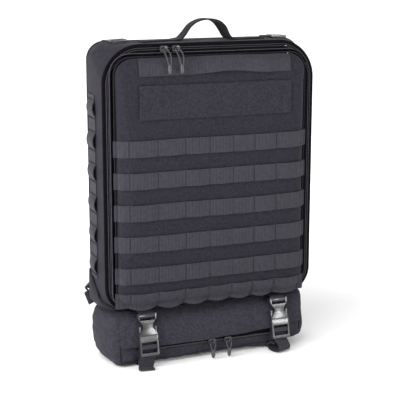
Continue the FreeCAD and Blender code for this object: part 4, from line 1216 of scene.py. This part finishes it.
def padEdging(name, node, y, thick):
    # binding round a pad's outline
    low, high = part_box(node)
    at = outlineAt(high.x - low.x, high.z - low.z, pads["corner"], pads["corner"])

    def place(s, t):
        x, z, nx, nz = at(s)
        angle = 2 * math.pi * t
        out = thick * math.cos(angle)
        return Vector((x + (low.x + high.x) / 2 + nx * out, y + 1.35 * thick * math.sin(angle),
                       z + (low.z + high.z) / 2 + nz * out))
    settle(grid(name, 150, 8, place, flat=(at.length, 0.01)), matBinding)


for name, node in (("backPadEdging_left", "back_pad_left"), ("backPadEdging_right", "back_pad_right"),
                   ("lumbarPadEdging", "lumbar_pad")):
    padEdging(name, node, rearFace + pads["edgeOut"], pads["edgeThick"])

# shoulder straps; depths in mm from the rear face, heights in mm from the floor
straps = {"trim": 1.5 * mm, "foot": 182.5 * mm, "near": 9.6 * mm, "far": 19.5 * mm, "nearest": 9.2 * mm,
          "farthest": 22 * mm, "topCorner": 10 * mm, "footCorner": 26 * mm, "webbing": 25 * mm,
          "thick": 1.6 * mm, "fill": 0.6, "lower": 24 * mm, "edgeOut": 15 * mm, "edgeThick": 1.6 * mm,
          "stations": (478, 440, 400, 360, 320, 280, 240, 205),
          "lowerRoute": ((0, 14.5, 215), (4, 13.5, 192), (26, 12.6, 160), (58, 12.2, 128)),
          "yoke": ((1, 470), (6.5, 478), (13, 479.5), (17, 474)), "yokeWide": 56 * mm, "yokeThick": 3 * mm}
tab = {"route": ((-42, 2, 103), (-24, 2.5, 98), (-8, 2.5, 91), (-6, 4.2, 89.5), (-9, 5.6, 91.5),
                 (-28, 5.6, 100)),
       "wide": 22 * mm, "thick": 1.5 * mm, "end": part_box("anchor_tabs")[1].x - 1 * mm}


def layStrip(name, run, width, side, thick, replaces=()):
    # plain webbing that stays with the pack
    settle(strip(name, run, width, side, thick), matWebbing, replaces=replaces)


def makeStrap(side, sign):
    low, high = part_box(f"shoulder_strap_{side}")
    middle = (low.x + high.x) / 2

    def keep(co):
        y = min(max(co.y, rearFace + straps["nearest"]), rearFace + straps["farthest"])
        return Vector((min(max(co.x, low.x), high.x), y, co.z))
    piece = slab(f"shoulderStrap_{side}",
                 Vector((low.x + straps["trim"], rearFace + straps["near"], straps["foot"])),
                 Vector((high.x - straps["trim"], rearFace + straps["far"], high.z - 1 * mm)),
                 straps["topCorner"], straps["footCorner"])
    puff(piece, pads["voxel"], pads["cap"], keep)
    settle(piece, matShell, replaces=[f"shoulder_strap_{side}"], angle=60)
    padEdging(f"shoulderStrapEdging_{side}", f"shoulder_strap_{side}", rearFace + straps["edgeOut"],
              straps["edgeThick"])
    face = surfaceOf(piece, Vector((0, -1, 0)))
    run = []
    for i, z in enumerate(straps["stations"]):
        hit = face((middle, rearFace + 10 * mm, z * mm))
        y = (hit.y if hit else rearFace + 20 * mm) + (0.9 if i % 2 else 1.6) * mm
        run.append(Vector((middle, y, z * mm)))
    layStrip(f"shoulderStrapRun_{side}", run, straps["webbing"], (1, 0, 0), straps["thick"])
    webLow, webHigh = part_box(f"shoulder_webbing_{side}")
    outer = webHigh.x if sign > 0 else webLow.x
    run = [Vector((middle + sign * x * mm, rearFace + y * mm, z * mm)) for x, y, z in straps["lowerRoute"]]
    run.append(Vector((outer - sign * 12 * mm, rearFace + 12 * mm, webLow.z + 8 * mm)))
    layStrip(f"shoulderWebbing_{side}", run, straps["lower"], (0.72, 0, 0.69 * sign), straps["thick"],
             [f"shoulder_webbing_{side}"])
    yoke = [Vector((middle, rearFace + y * mm, z * mm)) for y, z in straps["yoke"]]
    settle(strip(f"shoulderYoke_{side}", yoke, straps["yokeWide"], (1, 0, 0), straps["yokeThick"], steps=14),
           matShell)
    settle(refine(f"strap_lock_{side}", f"strapLock_{side}", lockEdge, 3), matBuckle,
           replaces=[f"strap_lock_{side}"], angle=35)
    # anchor tab: webbing folded back on itself
    run = [Vector((sign * (tab["end"] + x * mm), rearFace + y * mm, z * mm)) for x, y, z in tab["route"]]
    layStrip(f"anchorTab_{side}", run, tab["wide"], (0.35 * sign, 0, 0.94), tab["thick"], ["anchor_tabs"])


for side, sign in sides:
    makeStrap(side, sign)
print("shoulder straps made")


# sternum strap and its small buckle; the right half runs lower, to leave its plug room to slide
sternum = {"left": (21.6, 23.2, 22.4), "right": (21.6, 21.7, 21.6), "wide": 17.5 * mm, "thick": 1.3 * mm,
           "edge": 0.5 * mm, "fold": 0.63 * mm}
for side, sign in sides:
    low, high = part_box(f"sternum_strap_{side}")
    level = (low.z + high.z) / 2
    run = [Vector((low.x + (high.x - low.x) * i / 2, rearFace + height * mm, level))
           for i, height in enumerate(sternum[side])]
    layStrip(f"sternumStrap_{side}", run, sternum["wide"], (0, 0, 1), sternum["thick"],
             [f"sternum_strap_{side}"])
for node, name, body in (("sternum_socket", "sternumSocket", "pack"),
                         ("sternum_plug", "sternumPlug", "sternum_plug_body")):
    settle(refine(node, name, sternum["edge"]), matBuckle, body, [node], angle=35)


def foldedWebbing(name, node, body):
    # webbing wrapped round a buckle's bar, with round folds
    return settle(refine(node, name, sternum["fold"], 4), matWebbing, body, [node], angle=50)


def flatMap(piece, first, second):
    # a flat map from two directions, for a strap that came from the frame
    layer = piece.data.uv_layers.get("UVMap") or piece.data.uv_layers.new(name="UVMap")
    first, second = Vector(first), Vector(second)
    for loop in piece.data.loops:
        co = piece.data.vertices[loop.vertex_index].co
        layer.data[loop.index].uv = (co.dot(first), co.dot(second))


wrap = foldedWebbing("sternumPlugWebbing", "sternum_plug_webbing", "sternum_plug_body")
flatMap(wrap, (1, 0, 0), (0, 0, 1))
print("sternum strap made")


# inside: frame sheet, loop-faced liner, elastics, and the mesh pocket on the lid
settle(refine("frame_sheet", "frameSheet", 0.6 * mm), matSheet, replaces=["frame_sheet"])
liner = {"top": 48 * mm, "foot": 30 * mm, "rim": 6 * mm}
linerPiece = slab("rearLiner", *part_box("rear_liner"), liner["top"], liner["foot"])
inEdit(linerPiece, "FACE", lambda f: abs(f.normal.y) > 0.9)
bpy.ops.mesh.inset(thickness=liner["rim"], depth=0)
closeEdit()
settle(linerPiece, matLining, replaces=["rear_liner"])
elastic = {"tall": 38 * mm, "rows": 3, "pitch": 105 * mm, "loops": 7, "out": 5 * mm, "lift": 0.9 * mm,
           "thick": 1.4 * mm}
elasticLow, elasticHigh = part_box("instrument_elastics")


def makeElastic(top):
    def place(s, t):
        bow = abs(math.sin(math.pi * elastic["loops"] * s)) ** 0.8
        return Vector((elasticLow.x + (elasticHigh.x - elasticLow.x) * s,
                       elasticHigh.y - elastic["lift"] - elastic["out"] * bow, top - elastic["tall"] * t))
    return grid("elastic", 140, 6, place, thickness=elastic["thick"], flat=(0.3, 0.038))


elastics = join([makeElastic(elasticHigh.z - i * elastic["pitch"]) for i in range(elastic["rows"])],
                "instrumentElastics")
settle(elastics, matWebbing, replaces=["instrument_elastics"])
pocket = {"bag": 2.6 * mm, "lift": 0.6 * mm, "dents": 0.3 * mm, "thick": 0.8 * mm, "binding": 9 * mm,
          "bindingThick": 2.2 * mm}
pocketLow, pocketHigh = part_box("lid_mesh_pocket")


def pocketSpot(s, t):
    bag = math.sin(math.pi * s) ** 0.6 * math.sin(math.pi * min(t * 0.9 + 0.08, 1.0)) ** 0.6
    x = pocketLow.x + (pocketHigh.x - pocketLow.x) * s
    z = pocketHigh.z - (pocketHigh.z - pocketLow.z) * t
    out = pocket["lift"] + pocket["bag"] * bag + pocket["dents"] * wander(x, 0, z, 30)
    return Vector((x, panelHigh.y + out, z))


pocketPiece = grid("lidMeshPocket", 60, 44, pocketSpot, thickness=pocket["thick"], flat=(0.25, 0.17))
settle(pocketPiece, matMesh, "lid", ["lid_mesh_pocket"])
rim = [pocketSpot(s, 0.0) for s in (0, 0.2, 0.4, 0.6, 0.8, 1.0)]
rimPiece = strip("lidPocketBinding", rim, pocket["binding"], (0, 0, 1), pocket["bindingThick"])
settle(rimPiece, matBinding, "lid")
print("inside made")


# lower pouch: a soft roll that bulges at its right end and sags between its seams
pouch = {"round": 12 * mm, "cap": 4 * mm, "wrinkle": 2.6 * mm, "lean": 12 * mm, "belly": 38 * mm,
         "spread": 11 * mm, "lift": 13 * mm, "shoulder": 8 * mm, "cuts": 28, "voxel": 5.5 * mm, "fill": 0.5,
         "trim": (2 * mm, 2 * mm, 1 * mm), "pastLeft": 10 * mm, "pastRight": 8 * mm}


def pouchSpot(co):
    # rounds a box's corners, leans its front out to the belly, spreads its ends and lifts the right one
    half = (pouchHigh - pouchLow) / 2 - Vector(pouch["trim"])
    middle = (pouchLow + pouchHigh) / 2
    point = Vector((co.x * 2 * half.x, co.y * 2 * half.y, co.z * 2 * half.z))
    radius = pouch["round"]
    core = Vector(max(-h + radius, min(h - radius, p)) for p, h in zip(point, half))
    away = point - core
    if away.length > 1e-9:
        point = core + away.normalized() * min(away.length, radius)
    spot = middle + point
    if point.y < 0:
        share = -point.y / half.y
        drop = (spot.z - pouch["belly"]) / (pouchHigh.z - pouch["belly"])
        spot.y += pouch["lean"] * max(0.0, drop) * share
    ends = (abs(point.x) / half.x) ** 6 * math.sin(math.pi * min(max(spot.z / pouchHigh.z, 0.0), 1.0)) ** 0.5
    spread = pouch["spread"] * (0.15 + 0.85 * ramp(point.y, -half.y, half.y * 0.4))
    spot.x += math.copysign(spread, point.x) * ends
    raised = ramp(spot.x, 90 * mm, 172 * mm) * pouch["lift"]
    spot.z += raised * max(0.0, 1 - spot.z / (60 * mm))
    spot.z += pouch["shoulder"] * ramp(spot.x, 130 * mm, 155 * mm) * ramp(spot.z, 50 * mm, 88 * mm)
    return spot


pickNothing()
bpy.ops.mesh.primitive_cube_add(size=1)
pouchPiece = bpy.context.object
pouchPiece.name = "pouchShell"
inEdit(pouchPiece, "FACE", lambda f: True)
bpy.ops.mesh.subdivide(number_cuts=pouch["cuts"])
closeEdit()
for vertex in pouchPiece.data.vertices:
    vertex.co = pouchSpot(vertex.co)


def keepPouch(co):
    # the band that the zipper lies on stays flat, so that its sliders pass
    band = ramp(co.z, 14 * mm, 21 * mm) * (1 - ramp(co.z, 38 * mm, 45 * mm))
    ceiling = 92.2 * mm + 6 * mm * ramp(co.x, 130 * mm, 158 * mm)
    return Vector((min(max(co.x, pouchLow.x - pouch["pastLeft"]), pouchHigh.x + pouch["pastRight"]),
                   min(max(co.y, pouchLow.y - 2 * mm + 2.4 * mm * band), pouchHigh.y + 1 * mm),
                   min(max(co.z, 0.6 * mm), ceiling)))


puff(pouchPiece, pouch["voxel"], pouch["cap"], keepPouch)
for vertex in pouchPiece.data.vertices:
    co = vertex.co
    low = max(0.0, 1 - abs(co.z - 12 * mm) / (26 * mm))
    ruck = wander(co.x, co.y, co.z, 22) + 0.6 * wander(co.x * 1.6, co.y, co.z * 2.2, 55)
    move = vertex.normal * pouch["wrinkle"] * ruck * (0.5 + 0.7 * low)
    vertex.co = keepPouch(co + move) if co.z > 2 * mm else co
settle(pouchPiece, matPouchLightened, replaces=["pouch_shell"], angle=70)
pouchFront = surfaceOf(pouchPiece)


def onPouch(x, z, out=0.0):
    hit = pouchFront((x, 0, z))
    return Vector((x, (hit.y if hit else pouchLow.y + 12 * mm) - out, z))


pouchZip = {"height": 29 * mm, "half": 131 * mm, "tape": 11 * mm, "pitch": 2.6 * mm, "thick": 0.9 * mm,
            "rise": 3 * mm, "lift": 1.9 * mm, "coilOut": 1.1 * mm, "coilHalf": 2.1 * mm}


def zipTape(s, t):
    x = -pouchZip["half"] + 2 * pouchZip["half"] * s
    z = pouchZip["height"] + pouchZip["rise"] + (0.5 - t) * pouchZip["tape"]
    return onPouch(x, z, pouchZip["thick"])


def pouchCoil(s, t):
    x = -pouchZip["half"] + 2 * pouchZip["half"] * s
    turns = round(2 * pouchZip["half"] / pouchZip["pitch"])
    swell = 0.72 + 0.28 * math.cos(2 * math.pi * turns * s)
    angle = 2 * math.pi * t
    out, up = pouchZip["coilOut"] * swell * math.cos(angle), pouchZip["coilHalf"] * swell * math.sin(angle)
    return onPouch(x, pouchZip["height"], pouchZip["lift"]) + Vector((0, out, up))


zipTapePiece = grid("pouchZipperTape", 150, 4, zipTape, thickness=pouchZip["thick"], flat=(0.262, 0.011))
settle(zipTapePiece, matTape, replaces=["pouch_zipper"])
settle(grid("pouchZipperCoil", 440, 7, pouchCoil), matTeeth, angle=70)
flap = {"left": -158 * mm, "right": 158 * mm, "top": 88 * mm, "low": (36.5, 34, 45), "thick": 1.6 * mm,
        "lift": 1.1 * mm, "flare": 3.6 * mm, "dents": 0.7 * mm}


def flapFoot(x):
    # lower edge, lowest in the middle
    u = (x - flap["left"]) / (flap["right"] - flap["left"])
    a, b, c = (v * mm for v in flap["low"])
    return a * (1 - u) * (1 - 2 * u) + 4 * b * u * (1 - u) + c * u * (2 * u - 1)


def flapSpot(s, t):
    x = flap["left"] + (flap["right"] - flap["left"]) * s
    foot = flapFoot(x) + 0.8 * mm * wander(x, 0, 0, 26)
    z = flap["top"] + (foot - flap["top"]) * t
    stand = flap["lift"] + flap["flare"] * t ** 3 * (1 - 0.5 * wander(x, 1, 0, 20))
    stand += flap["dents"] * wander(x, 0, z, 24)
    return onPouch(x, z, max(1.0 * mm, stand))


hem = {"lift": 4 * mm, "left": -156, "right": 144, "run": 20}
flapPiece = grid("pouchFlap", 130, 24, flapSpot, thickness=flap["thick"], flat=(0.316, 0.055))
settle(flapPiece, matPouchLightened, replaces=["pouch_flap"])


def hemSpot(x):
    return x * mm, 0, flapFoot(x * mm) + hem["lift"]


runs = [(hemSpot(x), hemSpot(x + hem["run"])) for x in range(hem["left"], hem["right"], hem["run"])]
settle(stitches("pouchFlapStitches", runs, surfaceOf(flapPiece)), matThread)
welts = {"left": [(-158, 38), (-157.8, 28), (-157, 18), (-156, 8)],
         "right": [(158, 46), (157.6, 40), (157, 34), (156.6, 28)],
         "foot": [(-156, 8), (-100, 9.5), (-60, 8.5), (0, 11), (60, 10.5), (100, 13.5), (118, 17.5)]}


def pouchWelt(name, points, radius, material):
    # a seam's rounded edge, half sunk in the pouch
    at = track([(x * mm, 0, z * mm) for x, z in points])

    def place(s, t):
        spot = at(s)
        spot = onPouch(spot.x, spot.z, 0.2 * mm)
        angle = 2 * math.pi * t
        ahead = (at(min(s + 0.01, 1)) - at(max(s - 0.01, 0))).normalized()
        wide = ahead.cross(Vector((0, 1, 0))).normalized()
        return spot + wide * radius * math.cos(angle) + Vector((0, radius * math.sin(angle), 0))
    settle(grid(name, 110, 7, place, flat=(at.length, 0.01)), material)


pouchWelt("pouchSeam_left", welts["left"], 1.1 * mm, matBinding)
pouchWelt("pouchSeam_right", welts["right"], 0.9 * mm, matBinding)
pouchWelt("pouchSeam_foot", welts["foot"], 1.0 * mm, matShell)
print("pouch made")


# front straps: buckle halves, webbing round their bars, and the runs down the pouch
strap = {"x": 115 * mm, "wide": 24.5 * mm, "thick": 1.6 * mm, "tailThick": 1.5 * mm, "lowerThick": 1.2 * mm,
         "socketEdge": 0.9 * mm, "plugEdge": 0.7 * mm, "foldFlat": 0.68, "under": 0.8 * mm,
         "upper": ((-26, 91.6), (-42, 92), (-51, 91.6), (-55.5, 90), (-58, 87.2), (-59.2, 84.4),
                   (-60.2, 81.8))}
tails = {"left": [(-115, -64.5, 42), (-115, -65.5, 36), (-115, -66.3, 28), (-115.5, -66.8, 20),
                  (-117, -66.9, 12), (-118.5, -67, 6), (-120, -68.5, 2.6), (-121, -73, 1.4),
                  (-121, -78, 1.5), (-121, -79.8, 3), (-121, -77.5, 4.4), (-121, -72.5, 4.4)],
         "right": [(113 + 0.34 * u, -66.5 - 0.94 * u, z)
                   for u, z in ((0, 36), (1, 29), (5, 22.5), (11, 17), (15.5, 10), (14, 4), (7, 1.6),
                                (-4, 1.6), (-11, 5), (-12, 10.5), (-6, 14.2), (3, 14))]}


def tailTwist(s):
    return Vector((0, 0.36, 0)) * ramp(s, 0.04, 0.25)


def makeFrontStrap(side, sign):
    x = sign * strap["x"]
    plugBody = f"plug_{side}"
    settle(refine(f"buckle_socket_{side}", f"buckleSocket_{side}", strap["socketEdge"], 3), matBuckle,
           replaces=[f"buckle_socket_{side}"], angle=35)
    settle(refine(f"buckle_plug_{side}", f"bucklePlug_{side}", strap["plugEdge"], 3), matBuckle, plugBody,
           [f"buckle_plug_{side}"], angle=35)
    upper = [Vector((x, y * mm, z * mm)) for y, z in strap["upper"]]
    upperPiece = strip(f"upperStrap_{side}", upper, strap["wide"], (1, 0, 0), strap["thick"], steps=60)
    settle(upperPiece, matWebbing, replaces=[f"front_strap_{side}"])
    # the webbing round the plug's bar is pressed flatter than the frame has it
    wrap = foldedWebbing(f"plugWebbing_{side}", f"plug_webbing_{side}", plugBody)
    low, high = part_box(f"plug_webbing_{side}")
    level = (low.z + high.z) / 2 + 1.0 * mm
    for vertex in wrap.data.vertices:
        vertex.co.z = level + (vertex.co.z - level) * strap["foldFlat"]
    flatMap(wrap, (0, 0.23, 1), (1, 0, 0))
    # down the pouch's front, under it and back to the body
    down = [onPouch(x, z * mm, out * mm)
            for z, out in ((44, 3.4), (36, 3.4), (29, 3.2), (20, 3.2), (12, 3.2))]
    down += [Vector((x, pouchLow.y + 10 * mm, 1.0 * mm)), Vector((x, pouchLow.y + 22 * mm, strap["under"])),
             Vector((x, 0, strap["under"])), Vector((x, rearFace - 16 * mm, strap["under"]))]
    layStrip(f"lowerStrap_{side}", down, strap["wide"], (1, 0, 0), strap["lowerThick"])
    left = side == "left"
    tail = strip(f"strapTail_{side}", [Vector(spot) * mm for spot in tails[side]], strap["wide"],
                 (1, 0, -0.10) if left else (1, 0, 0), strap["tailThick"], twist=None if left else tailTwist,
                 steps=90, across=7)
    settleBlend(tail, matWebbing)
    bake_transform(tail)


for side, sign in sides:
    makeFrontStrap(side, sign)
print("front straps made")


# zipper sliders
for kind in ("lid", "pouch"):
    for side, sign in sides:
        node = f"{kind}_slider_{side}"
        slider = refine(node, f"{kind}Slider_{side}", 0.35 * mm)
        settle(slider, matMetal, f"{node}_body", [node], angle=35)
print("sliders made")


# floor, lights and background
studio = {"floor": 40.0, "floorColour": (0.93, 0.93, 0.93, 1), "floorRoughness": 0.9, "floorGloss": 0.2,
          "world": 0.5, "backdrop": 1.02,
          "glow": (("From Min", 0.28), ("From Max", 1.0), ("To Min", 0.06), ("To Max", 0.75))}
pickNothing()
bpy.ops.mesh.primitive_plane_add(size=studio["floor"])
floor = bpy.context.object
floor.name = "floor"
floorMaterial = bpy.data.materials.new("paleFloor")
floorMaterial.use_nodes = True
floorShader = floorMaterial.node_tree.nodes["Principled BSDF"]
floorShader.inputs["Base Color"].default_value = studio["floorColour"]
floorShader.inputs["Roughness"].default_value = studio["floorRoughness"]
floorShader.inputs["Specular IOR Level"].default_value = studio["floorGloss"]
floorShader.inputs["Emission Strength"].default_value = 1.0
# the floor glows a little away from the middle, so that it stays as pale as the background
floorTree = floorMaterial.node_tree
reach = addNode(floorTree, "ShaderNodeVectorMath", operation="LENGTH")
floorTree.links.new(addNode(floorTree, "ShaderNodeTexCoord").outputs["Object"], reach.inputs[0])
glow = addNode(floorTree, "ShaderNodeMapRange", interpolation_type="SMOOTHSTEP")
for socket, value in studio["glow"]:
    glow.inputs[socket].default_value = value
floorTree.links.new(reach.outputs["Value"], glow.inputs["Value"])
floorTree.links.new(glow.outputs["Result"], floorShader.inputs["Emission Color"])
floor.data.materials.append(floorMaterial)


# each light: place, target, size in metres, power in watts
lights = {"keyLight": ((-1.6, -1.8, 2.6), (0, 0, 0.25), (1.8, 1.8), 57.5),
          "fillLight": ((2.2, -1.6, 1.4), (0, 0, 0.25), (1.6, 1.6), 12.5),
          "rimLight": ((0.2, 1.8, 2.4), (0, 0, 0.3), (2.4, 1.2), 22.5),
          "edgeLight": ((-2.2, -0.7, 1.0), (0, 0, 0.25), (0.9, 0.9), 52.5),
          "glintLight": ((0.94, -2.05, 0.56), (0.115, -0.07, 0.06), (0.36, 0.36), 15.0)}
for name, (spot, target, size, power) in lights.items():
    pickNothing()
    bpy.ops.object.light_add(type="AREA", location=spot)
    lamp = bpy.context.object
    lamp.name = name
    lamp.data.shape = "RECTANGLE"
    lamp.data.size, lamp.data.size_y = size
    lamp.data.energy = power
    lamp.rotation_euler = (Vector(target) - Vector(spot)).to_track_quat("-Z", "Y").to_euler()

world = bpy.data.worlds.new("studio")
bpy.context.scene.world = world
world.use_nodes = True
sky = world.node_tree.nodes["Background"].inputs
sky["Color"].default_value = (1, 1, 1, 1)
seen = addNode(world.node_tree, "ShaderNodeLightPath").outputs["Is Camera Ray"]
extra = studio["backdrop"] - studio["world"]
bright = mathNode(world.node_tree, "MULTIPLY_ADD", seen, extra, studio["world"])
world.node_tree.links.new(bright, sky["Strength"])
bpy.context.scene.view_settings.view_transform = "Standard"
print("stage made")
